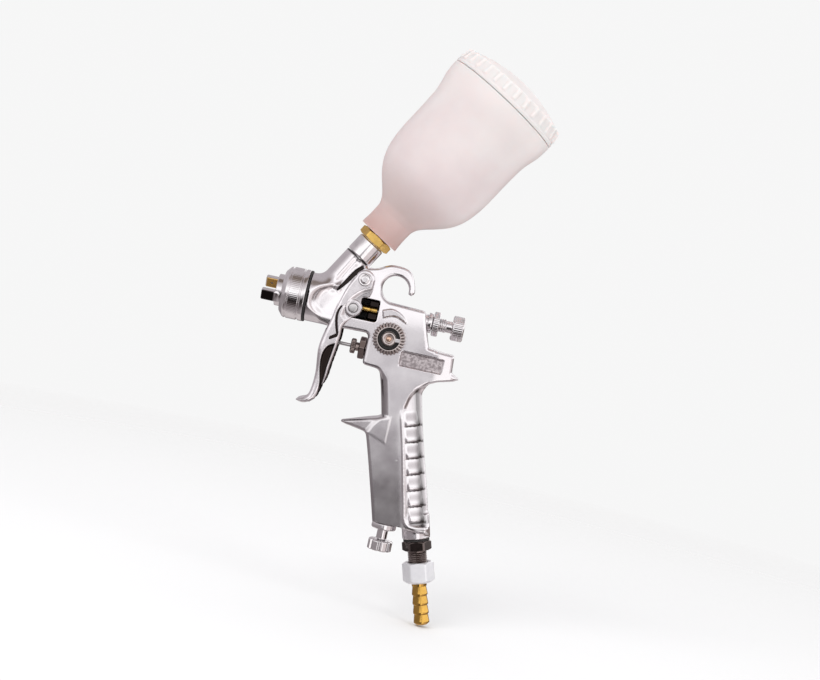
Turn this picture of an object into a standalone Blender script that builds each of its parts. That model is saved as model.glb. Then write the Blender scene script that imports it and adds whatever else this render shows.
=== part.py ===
"""A small gravity-feed spray gun for fine work, as an assembly of separate pieces.

The origin is the centre of the air cap's face, on the spray axis. +X runs back along the fluid
needle, +Z is up, and the fan knob is on the -Y side. Sizes below are in millimetres, and every
mesh is made in metres.
"""

from math import cos, pi, radians, sin, sqrt, tan, tau

import bmesh
import bpy
from mathutils import Matrix, Vector

MM = 0.001
GAP = 0.3  # clearance between neighbouring pieces

# Body casting
HEAD_RADIUS = 12.2
HEAD_FRONT = 16.6
HEAD_BACK = 30.0
SPIGOT_RADIUS = 9.9
SPIGOT_FRONT = 6.6
SLAB_HALF = 8.0
HANDLE_HALF = 8.8
TAIL_HALF = 8.0
BEAK_HALF = 4.5
HORN_HALF = 5.2

# Paint path: the cup leans back from the spray axis
CUP_TILT = 31.0
CUP_ROOT = 21.85  # where the cup's axis crosses the spray axis
CUP_FOOT = 44.46  # distance along the cup's axis to the bottom of the cup's neck
TUBE_RADIUS = 7.1
TUBE_END = -16.0  # distances along the cup's axis are counted from the cup's foot

# Trigger
PIVOT = (42.5, 14.3)
BARREL = (39.7, -0.6)
BARREL_RADIUS = 2.8
JOURNAL_RADIUS = 2.2
FLANGE_OUT = 9.9
FLANGE_IN = 8.6
WEB_TOP = -13.3

# Needle and its rear guide
NEEDLE_RADIUS = 1.0
COLLAR_FRONT = 42.75
WINDOW = (35.5, 52.0, 5.5)  # front, back and half height of the pocket around the needle
GUIDE_THREAD = 4.6
KNOB_SHANK = 3.4
KNOB_BORE = 2.6

# Air valve, pattern valve and air adjusting valve
VALVE_HEIGHT = -19.4
CHAMBER_RADIUS = 4.0
FAN_CENTRE = (60.3, -11.7)
ADJUST_X = 77.6
HANDLE_FOOT = -102.5

# Air inlet, in line with the handle
HOSE_TOP = (94.8, 0.0, -107.0)
HOSE_TILT = 16.0
BOSS_RADIUS = 7.0

ALUMINIUM = ("cast_aluminium", (0.78, 0.76, 0.77), 0.35, 1.0)
CHROME = ("chrome", (0.88, 0.88, 0.90), 0.12, 1.0)
STEEL = ("steel", (0.62, 0.62, 0.64), 0.28, 1.0)
BRASS = ("brass", (0.80, 0.58, 0.25), 0.30, 1.0)
BLACK = ("black_seal", (0.03, 0.03, 0.03), 0.60, 0.0)
PTFE = ("white_packing", (0.92, 0.92, 0.90), 0.50, 0.0)
NYLON = ("milky_nylon", (0.86, 0.80, 0.80), 0.40, 0.0)


# ---------------------------------------------------------------- scene and finishes


def clear_scene():
    for obj in list(bpy.data.objects):
        bpy.data.objects.remove(obj, do_unlink=True)


def new_collection(name):
    collection = bpy.data.collections.new(name)
    bpy.context.scene.collection.children.link(collection)
    return collection


def finish_of(finish):
    """The Principled material for a finish, made once."""
    name, colour, roughness, metallic = finish
    material = bpy.data.materials.get(name)
    if material:
        return material
    material = bpy.data.materials.new(name)
    material.use_nodes = True
    surface = material.node_tree.nodes["Principled BSDF"]
    surface.inputs["Base Color"].default_value = (*colour, 1.0)
    surface.inputs["Roughness"].default_value = roughness
    surface.inputs["Metallic"].default_value = metallic
    return material


def place_object(name, mesh, place, finish):
    """Links a mesh as a part, or as a helper when it has no finish."""
    obj = bpy.data.objects.new(name, mesh)
    obj.matrix_world = place
    if finish is None:
        obj.hide_render = True
        obj.display_type = "WIRE"
        HELPERS.objects.link(obj)
    else:
        mesh.materials.append(finish_of(finish))
        GUN.objects.link(obj)
    return obj


# ---------------------------------------------------------------- frames and shapes


def along(direction, point):
    """A frame at point whose local -Z runs along direction."""
    turn = Vector(direction).to_track_quat("-Z", "Y")
    return Matrix.Translation(Vector(point) * MM) @ turn.to_matrix().to_4x4()


def turned(name, profile, place, finish=None, steps=24, bored=False):
    """A turned solid from (distance along the axis, radius) pairs.

    The pairs run forwards down the outside. In a bored piece they then come back up the bore,
    and a blind bore has two pairs on the axis, one on each side of its end wall.
    """
    mesh = bpy.data.meshes.new(name)
    points = [(radius * MM, 0.0, -distance * MM) for distance, radius in profile]
    edges = [(i, i + 1) for i in range(len(points) - 1)]
    edges = [(a, b) for a, b in edges if profile[a][1] or profile[b][1]]
    if bored:
        edges.append((len(points) - 1, 0))
    mesh.from_pydata(points, edges, [])
    obj = place_object(name, mesh, place, finish)
    screw = obj.modifiers.new("Turn", "SCREW")
    screw.axis = "Z"
    screw.steps = steps
    screw.render_steps = steps
    screw.use_merge_vertices = True
    screw.merge_threshold = 1e-6
    screw.use_smooth_shade = True
    return obj


def rod(name, start, end, radius, place, finish=None, steps=24):
    """A plain solid cylinder between two distances along an axis."""
    profile = [(start, 0.0), (start, radius), (end, radius), (end, 0.0)]
    return turned(name, profile, place, finish, steps)


def tube(name, start, end, radius, bore, place, finish, steps=24):
    """A plain bush or washer between two distances along an axis."""
    profile = [(start, radius), (end, radius), (end, bore), (start, bore)]
    return turned(name, profile, place, finish, steps, bored=True)


def hexagon(name, start, end, across_flats, place, finish=None, turn=0.0):
    """A hexagonal prism between two distances along an axis."""
    mesh = bpy.data.meshes.new(name)
    shape = bmesh.new()
    corner = across_flats / sqrt(3) * MM
    middle = Matrix.Translation((0.0, 0.0, -(start + end) / 2 * MM))
    bmesh.ops.create_cone(
        shape,
        cap_ends=True,
        segments=6,
        radius1=corner,
        radius2=corner,
        depth=abs(end - start) * MM,
        matrix=middle @ Matrix.Rotation(radians(turn), 4, "Z"),
    )
    shape.to_mesh(mesh)
    shape.free()
    return place_object(name, mesh, place, finish)


def block(name, low, high, finish=None):
    """A rectangular block between two corners."""
    mesh = bpy.data.meshes.new(name)
    shape = bmesh.new()
    low, high = Vector(low) * MM, Vector(high) * MM
    size = Matrix.Diagonal((*(high - low), 1.0))
    bmesh.ops.create_cube(shape, size=1.0, matrix=Matrix.Translation((low + high) / 2) @ size)
    shape.to_mesh(mesh)
    shape.free()
    return place_object(name, mesh, Matrix.Identity(4), finish)


def rounded(corners, steps=3):
    """An outline from (x, z) or (x, z, radius) corners, with each radius turned into an arc."""
    outline = []
    for i, corner in enumerate(corners):
        here = Vector(corner[:2])
        if len(corner) == 2:
            outline.append(tuple(here))
            continue
        back = (Vector(corners[i - 1][:2]) - here).normalized()
        ahead = (Vector(corners[(i + 1) % len(corners)][:2]) - here).normalized()
        half_angle = back.angle(ahead) / 2
        centre = here + (back + ahead).normalized() * corner[2] / sin(half_angle)
        start = (here + back * corner[2] / tan(half_angle) - centre).normalized()
        end = (here + ahead * corner[2] / tan(half_angle) - centre).normalized()
        turns = [start.slerp(end, k / steps) for k in range(steps + 1)]
        outline += [tuple(centre + turn * corner[2]) for turn in turns]
    return outline


def arc(centre, radius, start, end, steps):
    """Points on a circle in the XZ plane, from one angle to another in degrees."""
    angles = [radians(start + (end - start) * k / steps) for k in range(steps + 1)]
    return [(centre[0] + radius * cos(a), centre[1] + radius * sin(a)) for a in angles]


def plate(name, outline, half, finish=None, bevel=0.0, middle=0.0):
    """A flat piece with its outline in the XZ plane, centred on y = middle."""
    curve = bpy.data.curves.new(name, "CURVE")
    curve.dimensions = "2D"
    curve.fill_mode = "BOTH"
    curve.extrude = half * MM
    spline = curve.splines.new("POLY")
    spline.points.add(len(outline) - 1)
    for point, (x, z) in zip(spline.points, outline):
        point.co = (x * MM, z * MM, 0.0, 1.0)
    spline.use_cyclic_u = True
    flat = bpy.data.objects.new(name + "_outline", curve)
    HELPERS.objects.link(flat)
    graph = bpy.context.evaluated_depsgraph_get()
    mesh = bpy.data.meshes.new_from_object(flat.evaluated_get(graph))
    bpy.data.objects.remove(flat, do_unlink=True)
    shape = bmesh.new()
    shape.from_mesh(mesh)
    bmesh.ops.remove_doubles(shape, verts=shape.verts, dist=1e-6)
    bmesh.ops.recalc_face_normals(shape, faces=shape.faces)
    shape.to_mesh(mesh)
    shape.free()
    upright = Matrix.Translation((0.0, middle * MM, 0.0)) @ Matrix.Rotation(pi / 2, 4, "X")
    obj = place_object(name, mesh, upright, finish)
    if bevel:
        edges = obj.modifiers.new("Edges", "BEVEL")
        edges.width = bevel * MM
        edges.segments = 2
        edges.limit_method = "ANGLE"
        edges.angle_limit = radians(60)
    return obj


def hang(obj, place):
    """Puts the part's own origin at a place and leaves its surface where it is."""
    obj.data.transform(place.inverted() @ obj.matrix_world)
    obj.matrix_world = place


def combine(base, operation, others, solver="EXACT"):
    """Joins helpers to a part with UNION, or cuts them from it with DIFFERENCE."""
    for other in others:
        modifier = base.modifiers.new(other.name, "BOOLEAN")
        modifier.operation = operation
        modifier.object = other
        modifier.solver = solver
    return base


def bored_hexagon(name, start, end, across_flats, bore, place, finish, turn=0.0):
    """A plain nut: a hexagon with a round hole through it."""
    nut = hexagon(name, start, end, across_flats, place, finish, turn)
    return combine(nut, "DIFFERENCE", [rod(name + "_hole", start - 1, end + 1, bore, place)])


def coil_spring(name, start, end, radius, wire, turns, place, finish):
    """A wound wire along an axis, between two distances."""
    per_turn = 8
    curve = bpy.data.curves.new(name, "CURVE")
    curve.dimensions = "3D"
    curve.bevel_depth = wire * MM
    curve.bevel_resolution = 0
    curve.use_fill_caps = True
    curve.materials.append(finish_of(finish))
    spline = curve.splines.new("POLY")
    count = turns * per_turn
    spline.points.add(count)
    for i, point in enumerate(spline.points):
        angle = tau * i / per_turn
        height = start + (end - start) * i / count
        point.co = (radius * cos(angle) * MM, radius * sin(angle) * MM, -height * MM, 1.0)
    obj = bpy.data.objects.new(name, curve)
    obj.matrix_world = place
    GUN.objects.link(obj)
    return obj


# ---------------------------------------------------------------- places of the assembly

GUN = None
HELPERS = None
SPRAY = along((1, 0, 0), (0, 0, 0))
AIR_VALVE = along((1, 0, 0), (0, 0, VALVE_HEIGHT))
FAN = along((0, 1, 0), (FAN_CENTRE[0], 0, FAN_CENTRE[1]))
PIVOT_AXIS = along((0, 1, 0), (PIVOT[0], 0, PIVOT[1]))
BARREL_AXIS = along((0, 1, 0), (BARREL[0], 0, BARREL[1]))
ADJUST = along((0, 0, -1), (ADJUST_X, 0, HANDLE_FOOT))
HOSE = along((sin(radians(HOSE_TILT)), 0, -cos(radians(HOSE_TILT))), HOSE_TOP)
CUP_UP = (sin(radians(CUP_TILT)), 0, cos(radians(CUP_TILT)))
CUP = along(CUP_UP, (CUP_ROOT + CUP_FOOT * CUP_UP[0], 0, CUP_FOOT * CUP_UP[2]))


# ---------------------------------------------------------------- body casting


def body_outline():
    """The flat sides of the casting: head, hook, valve block and the bridge under the needle."""
    hook_eye = (58.0, 12.5)
    front = [(24.0, 4.0), (24.0, -11.9)]
    front += rounded([(36.0, -11.7), (49.8, -11.3, 2.4), (49.8, -27.0, 1.6), (60.0, -27.6)])[:-1]
    back = rounded([(60.0, -29.0), (84.0, -29.0), (84.0, -12.6), (80.2, -12.4), (76.9, -2.0)])
    top = [(75.4, 5.0), (74.6, 5.7)]
    hook_inside = arc(hook_eye, 6.8, 262.5, -7.5, 18)
    hook_outside = [(65.6, 11.3), (67.7, 12.3), (67.1, 16.0), (65.7, 20.0), (64.0, 22.8)]
    hook_outside += [(61.8, 23.9), (55.0, 24.3), (51.8, 23.4), (48.8, 21.6), (44.5, 20.2)]
    return front + back[1:] + top + hook_inside + hook_outside + [(38.0, 20.0)]


def handle_outline():
    front = [(58.4, -24.0), (64.6, -49.8), (61.0, -54.0), (59.0, -60.0), (65.2, -80.5)]
    foot = [(71.8, HANDLE_FOOT), (99.6, HANDLE_FOOT)]
    back = [(95.7, -86.0), (90.4, -68.0), (85.3, -50.0), (82.8, -39.0), (81.4, -33.0)]
    return front + foot + back + [(83.0, -24.0)]


def tail_outline():
    """The back of the valve block, over the web of the thumb."""
    top = [(78.0, -12.5), (93.2, -13.5), (94.2, -14.4), (94.0, -24.4), (92.0, -26.0)]
    return top + [(87.0, -28.0), (84.0, -30.0), (81.0, -34.0), (76.0, -34.0)]


def beak_outline():
    """The thin tip of the thumb rest."""
    return [(86.0, -22.4), (94.3, -22.2), (98.6, -24.4), (96.0, -25.8), (88.0, -28.2), (84.0, -30.2)]


def horn_outline():
    """The finger rest on the front of the handle."""
    return [(67.0, -49.2), (45.2, -56.6), (46.0, -58.0), (52.0, -58.9), (59.5, -59.8), (67.0, -64.0)]


def window_cutters():
    """The pocket around the needle, open on the -Y side, and the slots for the trigger's ears."""
    front, back, half = WINDOW
    pocket = block("window_pocket", (front, -12.0, -half), (back, 4.2, half))
    ear_slot = block("ear_slot", (front, 3.0, -5.0), (46.8, 12.0, 4.4))
    return [pocket, ear_slot]


def needle_bores():
    """Along the spray axis: nozzle seat, paint chamber, packing seat and the rear guide's thread."""
    return [
        rod("nozzle_bore", SPIGOT_FRONT - 1, HEAD_FRONT, 4.1, SPRAY),
        rod("paint_chamber", HEAD_FRONT - 1, 26.5, 3.0, SPRAY),
        rod("packing_bore", 26.0, WINDOW[0] + 1, 3.3, SPRAY),
        rod("collar_bore", WINDOW[1] - 1, 63.0, 2.4, SPRAY),
        rod("guide_bore", 62.5, 79.0, GUIDE_THREAD + GAP, SPRAY),
        rod("guide_seat", 76.9, 82.0, 5.5, SPRAY),
    ]


def air_bores():
    """The way of the air: up the handle, past the air valve and forwards to the head."""
    upper = along((-7.0, 0, 38.0), (ADJUST_X, 0, -61.0))
    cross = along((-13.4, 0, -2.0), (91.0, 0, -90.5))
    return [
        rod("inlet_bore", -18.5, 1.0, 3.2, HOSE),
        rod("cross_passage", 0.0, 13.5, 2.4, cross, steps=12),
        rod("adjust_thread", -9.0, 1.0, 4.2, ADJUST),
        rod("adjust_seat", -17.0, -8.5, 3.0, ADJUST, steps=16),
        rod("handle_passage", -43.0, -16.5, 2.2, ADJUST, steps=16),
        rod("upper_passage", 0.0, 41.0, 2.2, upper, steps=16),
        rod("valve_chamber", 48.5, 79.0, CHAMBER_RADIUS, AIR_VALVE),
        rod("riser", -20.0, -8.3, 1.3, along((0, 0, 1), (55.0, 0, 0)), steps=12),
        rod("head_passage", 5.0, 59.0, 1.3, along((1, 0, 0), (0, 0, -8.3)), steps=12),
        rod("fan_passage", 5.0, 61.0, 1.3, along((1, 0, 0), (0, 3.6, -7.6)), steps=12),
        rod("fan_bush_bore", -12.0, -4.4, 4.4, FAN),
        rod("fan_plug_bore", -5.0, 5.2, 3.0, FAN),
    ]


def gun_body():
    """The casting that everything else is screwed into.

    The MANIFOLD solver leaves it closed after all of its joins and cuts, which EXACT doesn't.
    """
    head_profile = [(SPIGOT_FRONT, 0), (SPIGOT_FRONT, SPIGOT_RADIUS), (HEAD_FRONT, SPIGOT_RADIUS)]
    head_profile += [(HEAD_FRONT, HEAD_RADIUS), (19.5, HEAD_RADIUS), (19.5, 0)]
    body = turned("gun_body", head_profile, SPRAY, ALUMINIUM, steps=32)
    barrel = rod("head_barrel", 18.0, HEAD_BACK, HEAD_RADIUS, SPRAY, steps=32)
    flats = block("head_flats", (10.0, 0.2 - SLAB_HALF, -20.0), (40.0, SLAB_HALF - 0.2, 20.0))
    combine(barrel, "INTERSECT", [flats])
    joined = [
        barrel,
        plate("slab", body_outline(), SLAB_HALF),
        rod("inlet_tube", -CUP_FOOT, TUBE_END, TUBE_RADIUS, CUP, steps=28),
        plate("handle", handle_outline(), HANDLE_HALF, bevel=3.0),
        plate("tail", tail_outline(), TAIL_HALF - 0.1, bevel=1.2),
        plate("beak", beak_outline(), BEAK_HALF),
        plate("horn", horn_outline(), HORN_HALF),
        rod("inlet_boss", -9.0, 0.0, BOSS_RADIUS, HOSE),
    ]
    combine(body, "UNION", joined, "MANIFOLD")
    cuts = window_cutters() + needle_bores() + air_bores()
    cuts.append(rod("paint_bore", -CUP_FOOT, TUBE_END + 1, 3.4, CUP, steps=20))
    cuts.append(rod("joint_thread", -25.0, TUBE_END + 1, 5.0, CUP))
    cuts.append(rod("pivot_hole", -14.0, 14.0, 1.6 + GAP, PIVOT_AXIS, steps=16))
    cuts.append(block("plate_recess", (68.0, -SLAB_HALF - 2, -23.8), (89.0, -SLAB_HALF + 0.6, -16.3)))
    return combine(body, "DIFFERENCE", cuts, "MANIFOLD")


# ---------------------------------------------------------------- spray head


def air_cap():
    """The cap with its two air horns, turned so that the fan sprays at an angle."""
    profile = [(0.0, 1.2), (0.0, 7.6), (0.5, 8.0), (4.6, 8.0), (4.6, 9.9), (6.0, 9.9)]
    profile += [(6.0, 7.4), (3.0, 3.0), (1.4, 1.6), (1.4, 1.2)]
    cap = turned("air_cap", profile, SPRAY, CHROME, steps=28, bored=True)
    horns = []
    for side, angle in (("near", 210.0), ("far", 30.0)):
        horn = block("horn_" + side, (-6.8, 4.4, -2.8), (1.0, 7.8, 2.8))
        horn.matrix_world = Matrix.Rotation(radians(angle), 4, "X")
        horns.append(horn)
    return combine(cap, "UNION", horns)


def retaining_ring():
    """The knurled ring that clamps the air cap on the body's thread."""
    profile = [(3.0, 8.4), (3.0, 10.0), (5.5, 13.0), (15.0, 13.0), (15.0, 10.3), (4.3, 10.3)]
    profile += [(4.3, 8.4)]
    return turned("retaining_ring", profile, SPRAY, CHROME, steps=28, bored=True)


def spray_head():
    retaining_ring()
    air_cap()
    tube("head_gasket", 15.3, 16.3, 12.7, 10.2, SPRAY, BLACK, steps=32)
    nozzle = [(-0.2, 0.65), (-0.2, 1.0), (1.4, 1.0), (4.6, 2.6), (5.0, 5.2), (6.2, 5.2), (6.3, 3.8)]
    nozzle += [(15.6, 3.8), (15.6, 2.0), (6.5, 2.0), (4.0, 1.4), (1.0, 0.9)]
    turned("fluid_nozzle", nozzle, SPRAY, STEEL, steps=20, bored=True)


# ---------------------------------------------------------------- needle and rear guide


def fluid_needle():
    """The needle, with the shoulder that its spring pushes on."""
    profile = [(0.2, 0.0), (0.2, 0.25), (3.6, NEEDLE_RADIUS), (60.0, NEEDLE_RADIUS), (60.0, 2.1)]
    profile += [(61.4, 2.1), (61.4, NEEDLE_RADIUS), (86.2, NEEDLE_RADIUS), (86.2, 0.0)]
    return turned("fluid_needle", profile, SPRAY, STEEL, steps=12)


def packing_gland():
    """The slotted brass screw that tightens the needle packing."""
    gland = tube("packing_gland", 30.6, 35.2, 3.0, 1.35, SPRAY, BRASS, steps=16)
    slot = block("gland_slot", (34.4, -0.4, -4.0), (36.0, 0.4, 4.0))
    return combine(gland, "DIFFERENCE", [slot])


def fluid_guide():
    """The bush behind the body that the needle spring and the fluid knob sit in."""
    profile = [(64.4, GUIDE_THREAD), (75.5, GUIDE_THREAD), (75.7, 3.95), (77.3, 3.95), (77.3, 5.0)]
    profile += [(79.5, 5.0), (79.5, KNOB_SHANK + GAP), (70.0, KNOB_SHANK + GAP), (70.0, KNOB_BORE)]
    profile += [(64.4, KNOB_BORE)]
    return turned("fluid_guide", profile, SPRAY, CHROME, bored=True)


def fluid_knob():
    """The rear knob on its threaded shank. Its blind bore stops the needle."""
    profile = [(71.0, KNOB_SHANK), (86.4, KNOB_SHANK), (86.6, 3.0), (89.5, 3.0), (89.5, 5.9)]
    profile += [(90.0, 6.3), (95.2, 6.3), (95.7, 5.8), (95.7, 0.0), (92.0, 0.0), (92.0, KNOB_BORE)]
    profile += [(71.0, KNOB_BORE)]
    return turned("fluid_knob", profile, SPRAY, CHROME, bored=True)


def needle_group():
    fluid_needle()
    tube("needle_collar", COLLAR_FRONT, 51.5, 1.9, NEEDLE_RADIUS + 0.2, SPRAY, BRASS, steps=16)
    tube("needle_packing", 27.2, 30.3, 2.9, 1.2, SPRAY, PTFE, steps=16)
    packing_gland()
    fluid_guide()
    tube("guide_lock_nut", 79.8, 83.0, 6.2, KNOB_SHANK + GAP, SPRAY, CHROME)
    coil_spring("needle_spring", 62.1, 90.2, 1.9, 0.3, 11, SPRAY, STEEL)
    rod("spring_button", 90.8, 91.7, 2.3, SPRAY, BRASS, steps=16)
    fluid_knob()


# ---------------------------------------------------------------- trigger


def trigger_outline():
    """Side view of the trigger: arm to the pivot, ear on the needle's axis and the curved blade."""
    pivot_arm = arc(PIVOT, 4.7, 160, -10, 8)
    right = [(46.8, 6.2), (43.2, 5.6)]
    ear = arc(BARREL, 5.0, 48, -70, 6)
    rear = [(38.6, -8.5), (37.5, -12.0), (37.5, -19.0), (36.4, -25.5), (35.0, -34.0)]
    rear += [(33.0, -41.0), (31.6, -45.5), (30.4, -49.2)]
    tip = [(28.4, -51.0), (24.5, -51.9), (21.5, -51.4), (22.2, -50.6)]
    front = [(25.4, -49.2), (27.6, -46.0), (28.3, -41.0), (28.4, -35.0), (27.7, -29.0)]
    front += [(27.2, -24.0), (27.8, -19.4), (29.0, -13.0), (30.0, -8.0), (31.0, 0.0), (33.2, 9.0)]
    return pivot_arm + right + ear + rear + tip + front


def trigger_hollow():
    """The inside of the trigger's channel, open at the back and above the blade."""
    inside = [(23.0, WEB_TOP), (30.6, WEB_TOP), (29.2, -19.4), (28.6, -24.0), (29.1, -29.0)]
    inside += [(29.8, -35.0), (29.7, -41.0), (29.1, -45.6), (27.6, -48.4)]
    return inside + [(28.6, -53.0), (60.0, -53.0), (60.0, 25.0), (23.0, 25.0)]


def trigger_group():
    trigger = plate("trigger", trigger_outline(), FLANGE_OUT, CHROME)
    hang(trigger, PIVOT_AXIS)
    hollow = plate("trigger_hollow", trigger_hollow(), FLANGE_IN)
    pivot_hole = rod("trigger_pivot_hole", -14, 14, 1.6 + GAP, PIVOT_AXIS, steps=16)
    ear_hole = rod("trigger_ear_hole", -14, 14, JOURNAL_RADIUS + GAP, BARREL_AXIS, steps=20)
    combine(trigger, "DIFFERENCE", [hollow, pivot_hole, ear_hole])
    profile = [(-10.9, 0.0), (-10.9, JOURNAL_RADIUS), (-8.2, JOURNAL_RADIUS), (-8.2, BARREL_RADIUS)]
    profile += [(8.2, BARREL_RADIUS), (8.2, JOURNAL_RADIUS), (10.9, JOURNAL_RADIUS), (10.9, 0.0)]
    barrel = turned("trigger_barrel", profile, BARREL_AXIS, STEEL, steps=20)
    combine(barrel, "DIFFERENCE", [rod("barrel_hole", 30, 50, 1.6, SPRAY, steps=16)])
    screw = [(-12.3, 0.0), (-12.3, 3.0), (-11.8, 3.4), (-10.2, 3.4), (-10.2, 1.6), (12.2, 1.6)]
    pivot = turned("pivot_screw", screw + [(12.2, 0.0)], PIVOT_AXIS, CHROME, steps=20)
    slot = block("pivot_slot", (38.0, -13.0, 13.95), (47.0, -11.7, 14.65))
    combine(pivot, "DIFFERENCE", [slot])
    bored_hexagon("pivot_nut", 10.2, 12.6, 5.5, 1.6 + GAP, PIVOT_AXIS, CHROME)


# ---------------------------------------------------------------- air valve


def air_valve_gland():
    """The hexagon screwed into the body, whose rear end is the air valve's seat."""
    gland = hexagon("air_valve_gland", 46.3, 49.5, 11.0, AIR_VALVE, CHROME, turn=30)
    sleeve = rod("gland_sleeve", 48.5, 61.0, CHAMBER_RADIUS - GAP, AIR_VALVE, steps=20)
    combine(gland, "UNION", [sleeve])
    bores = [
        rod("gland_packing_bore", 45.0, 51.0, 2.5, AIR_VALVE, steps=16),
        rod("gland_stem_bore", 50.0, 62.0, 1.4, AIR_VALVE, steps=16),
        rod("gland_port", -6.0, 6.0, 0.9, along((0, 0, 1), (56.5, 0, VALVE_HEIGHT)), steps=10),
    ]
    return combine(gland, "DIFFERENCE", bores)


def air_valve_group():
    air_valve_gland()
    screw = [(42.0, 3.8), (44.5, 3.8), (44.5, 2.2), (48.0, 2.2), (48.0, 1.2), (42.0, 1.2)]
    turned("valve_packing_screw", screw, AIR_VALVE, CHROME, bored=True)
    tube("valve_packing", 48.3, 50.7, 2.2, 1.05, AIR_VALVE, PTFE, steps=16)
    stem = [(29.6, 0.0), (29.6, 0.7), (29.9, 0.9), (64.5, 0.9), (64.5, 0.0)]
    turned("air_valve_stem", stem, AIR_VALVE, STEEL, steps=12)
    tube("air_valve_poppet", 61.3, 64.0, 2.9, 1.1, AIR_VALVE, BRASS, steps=16)
    coil_spring("air_valve_spring", 64.6, 78.3, 2.3, 0.35, 6, AIR_VALVE, STEEL)


# ---------------------------------------------------------------- pattern valve


def fan_valve_group():
    """The side knob with its bush and the plug that shares the air with the horns."""
    flange = -SLAB_HALF - GAP
    bush = [(flange - 0.9, 5.0), (flange, 5.0), (flange, 4.1), (-4.8, 4.1), (-4.8, 1.8)]
    turned("fan_bush", bush + [(flange - 0.9, 1.8)], FAN, BRASS, bored=True)
    plug = [(-12.3, 0.0), (-12.3, 1.5), (-4.4, 1.5), (-4.4, 2.7), (4.6, 2.7), (4.6, 0.0)]
    spindle = turned("fan_spindle", plug, FAN, STEEL, steps=20)
    notch = block("spindle_notch", (57.0, 0.5, -11.7), (64.0, 3.6, -8.0))
    combine(spindle, "DIFFERENCE", [notch])
    ring = [(-14.4, 5.5), (-14.4, 7.8), (-14.0, 8.3), (-10.0, 8.3), (-9.6, 7.9), (-9.6, 1.8)]
    ring += [(-12.6, 1.8), (-12.6, 5.5)]
    knob = turned("fan_knob", ring, FAN, CHROME, steps=28, bored=True)
    pointer = block("fan_pointer", (64.0, -14.2, -12.3), (66.6, -12.0, -11.1))
    combine(knob, "UNION", [pointer])
    head = turned("fan_screw", [(-14.3, 0), (-14.3, 3.3), (-12.9, 3.6), (-12.9, 0)], FAN, BRASS)
    slot = block("fan_slot", (56.0, -15.0, -12.05), (64.0, -13.8, -11.35))
    combine(head, "DIFFERENCE", [slot])


# ---------------------------------------------------------------- handle foot


def air_adjust_group():
    """The valve in the foot of the handle that sets how much air passes."""
    guide = [(-7.5, 3.9), (0.3, 3.9), (0.3, 6.2), (3.5, 6.2), (3.5, 2.7 + GAP), (-7.5, 2.7 + GAP)]
    turned("air_adjust_guide", guide, ADJUST, CHROME, bored=True)
    stem = [(-17.6, 0.0), (-17.6, 0.8), (-14.8, 1.9), (-8.2, 1.9), (-8.2, 2.7), (-5.9, 2.7)]
    stem += [(-5.9, 2.0), (-4.7, 2.0), (-4.7, 2.7), (8.7, 2.7), (8.7, 2.0), (12.5, 2.0), (12.5, 0.0)]
    turned("air_adjust_stem", stem, ADJUST, CHROME, steps=20)
    ring = [(-5.3 + 0.42 * cos(a), 2.5 + 0.42 * sin(a)) for a in (tau * k / 8 for k in range(8))]
    turned("air_adjust_seal", ring[::-1], ADJUST, BLACK, steps=20, bored=True)
    knob = [(9.0, 5.8), (9.4, 6.2), (14.1, 6.2), (14.5, 5.8), (14.5, 0.0), (12.9, 0.0)]
    knob += [(12.9, 2.0 + GAP), (9.0, 2.0 + GAP)]
    turned("air_adjust_knob", knob, ADJUST, CHROME, bored=True)


def hose_group():
    """Nipple, union nut and barbed tail, in line with the handle."""
    tube("nipple_washer", 0.3, 1.1, 6.6, 5.2, HOSE, BLACK)
    nipple = hexagon("air_nipple", 1.4, 6.0, 13.0, HOSE, CHROME)
    spigot = rod("nipple_spigot", -7.0, 2.0, 2.9, HOSE, steps=20)
    thread = rod("nipple_thread", 5.0, 17.5, 4.85, HOSE)
    combine(nipple, "UNION", [spigot, thread])
    combine(nipple, "DIFFERENCE", [rod("nipple_bore", -8.0, 18.5, 2.0, HOSE, steps=16)])
    nut = hexagon("hose_nut", 12.0, 22.4, 14.0, HOSE, CHROME)
    bores = [rod("nut_thread", 11.0, 20.6, 5.2, HOSE), rod("nut_throat", 20.0, 23.4, 4.1, HOSE)]
    combine(nut, "DIFFERENCE", bores)
    outside = [(18.0, 4.6), (20.2, 4.6), (20.2, 3.75), (24.2, 3.75)]
    for barb in range(4):
        start = 24.2 + 4.7 * barb
        outside += [(start, 3.25), (start + 4.0, 3.95), (start + 4.35, 3.95)]
    outside += [(43.7, 2.7), (43.7, 1.8), (18.0, 1.8)]
    turned("hose_tail", outside, HOSE, BRASS, steps=20, bored=True)


# ---------------------------------------------------------------- cup


def cup_wall():
    """The cup's outside, bulging from a narrow neck to a flared shoulder, and its bore."""
    outside = [(0.0, 11.0), (6.0, 10.7), (11.0, 10.9), (13.7, 12.0), (20.0, 18.0), (24.0, 21.8)]
    outside += [(28.5, 24.8), (34.0, 26.9), (40.0, 28.3), (50.0, 28.7), (70.0, 28.9), (79.0, 30.8)]
    outside += [(84.0, 31.5), (87.9, 31.6), (87.9, 28.3), (94.5, 28.3)]
    inside = [(94.5, 26.8), (48.0, 26.8), (38.0, 26.0), (28.5, 22.8), (20.0, 16.0), (12.4, 8.6)]
    inside += [(12.4, 5.4)]
    return outside + inside + [(9.6, 5.4), (9.6, 6.6), (0.0, 6.6)]


def lid_wall():
    """The screw lid: a tapering skirt and a domed top with an air hole in the middle."""
    skirt, dome, thick = 96.5, 6.2, 1.5
    radii = [25.0, 19.0, 13.0, 7.0, 1.2]
    outside = [(88.3, 31.6), (skirt, 29.8)]
    outside += [(skirt + dome * (1 - (r / 29.8) ** 2), r) for r in radii]
    inside = [(skirt + dome * (1 - (r / 29.8) ** 2) - thick, r) for r in reversed(radii)]
    return outside + inside + [(95.2, 28.8), (88.3, 28.9)]


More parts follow.
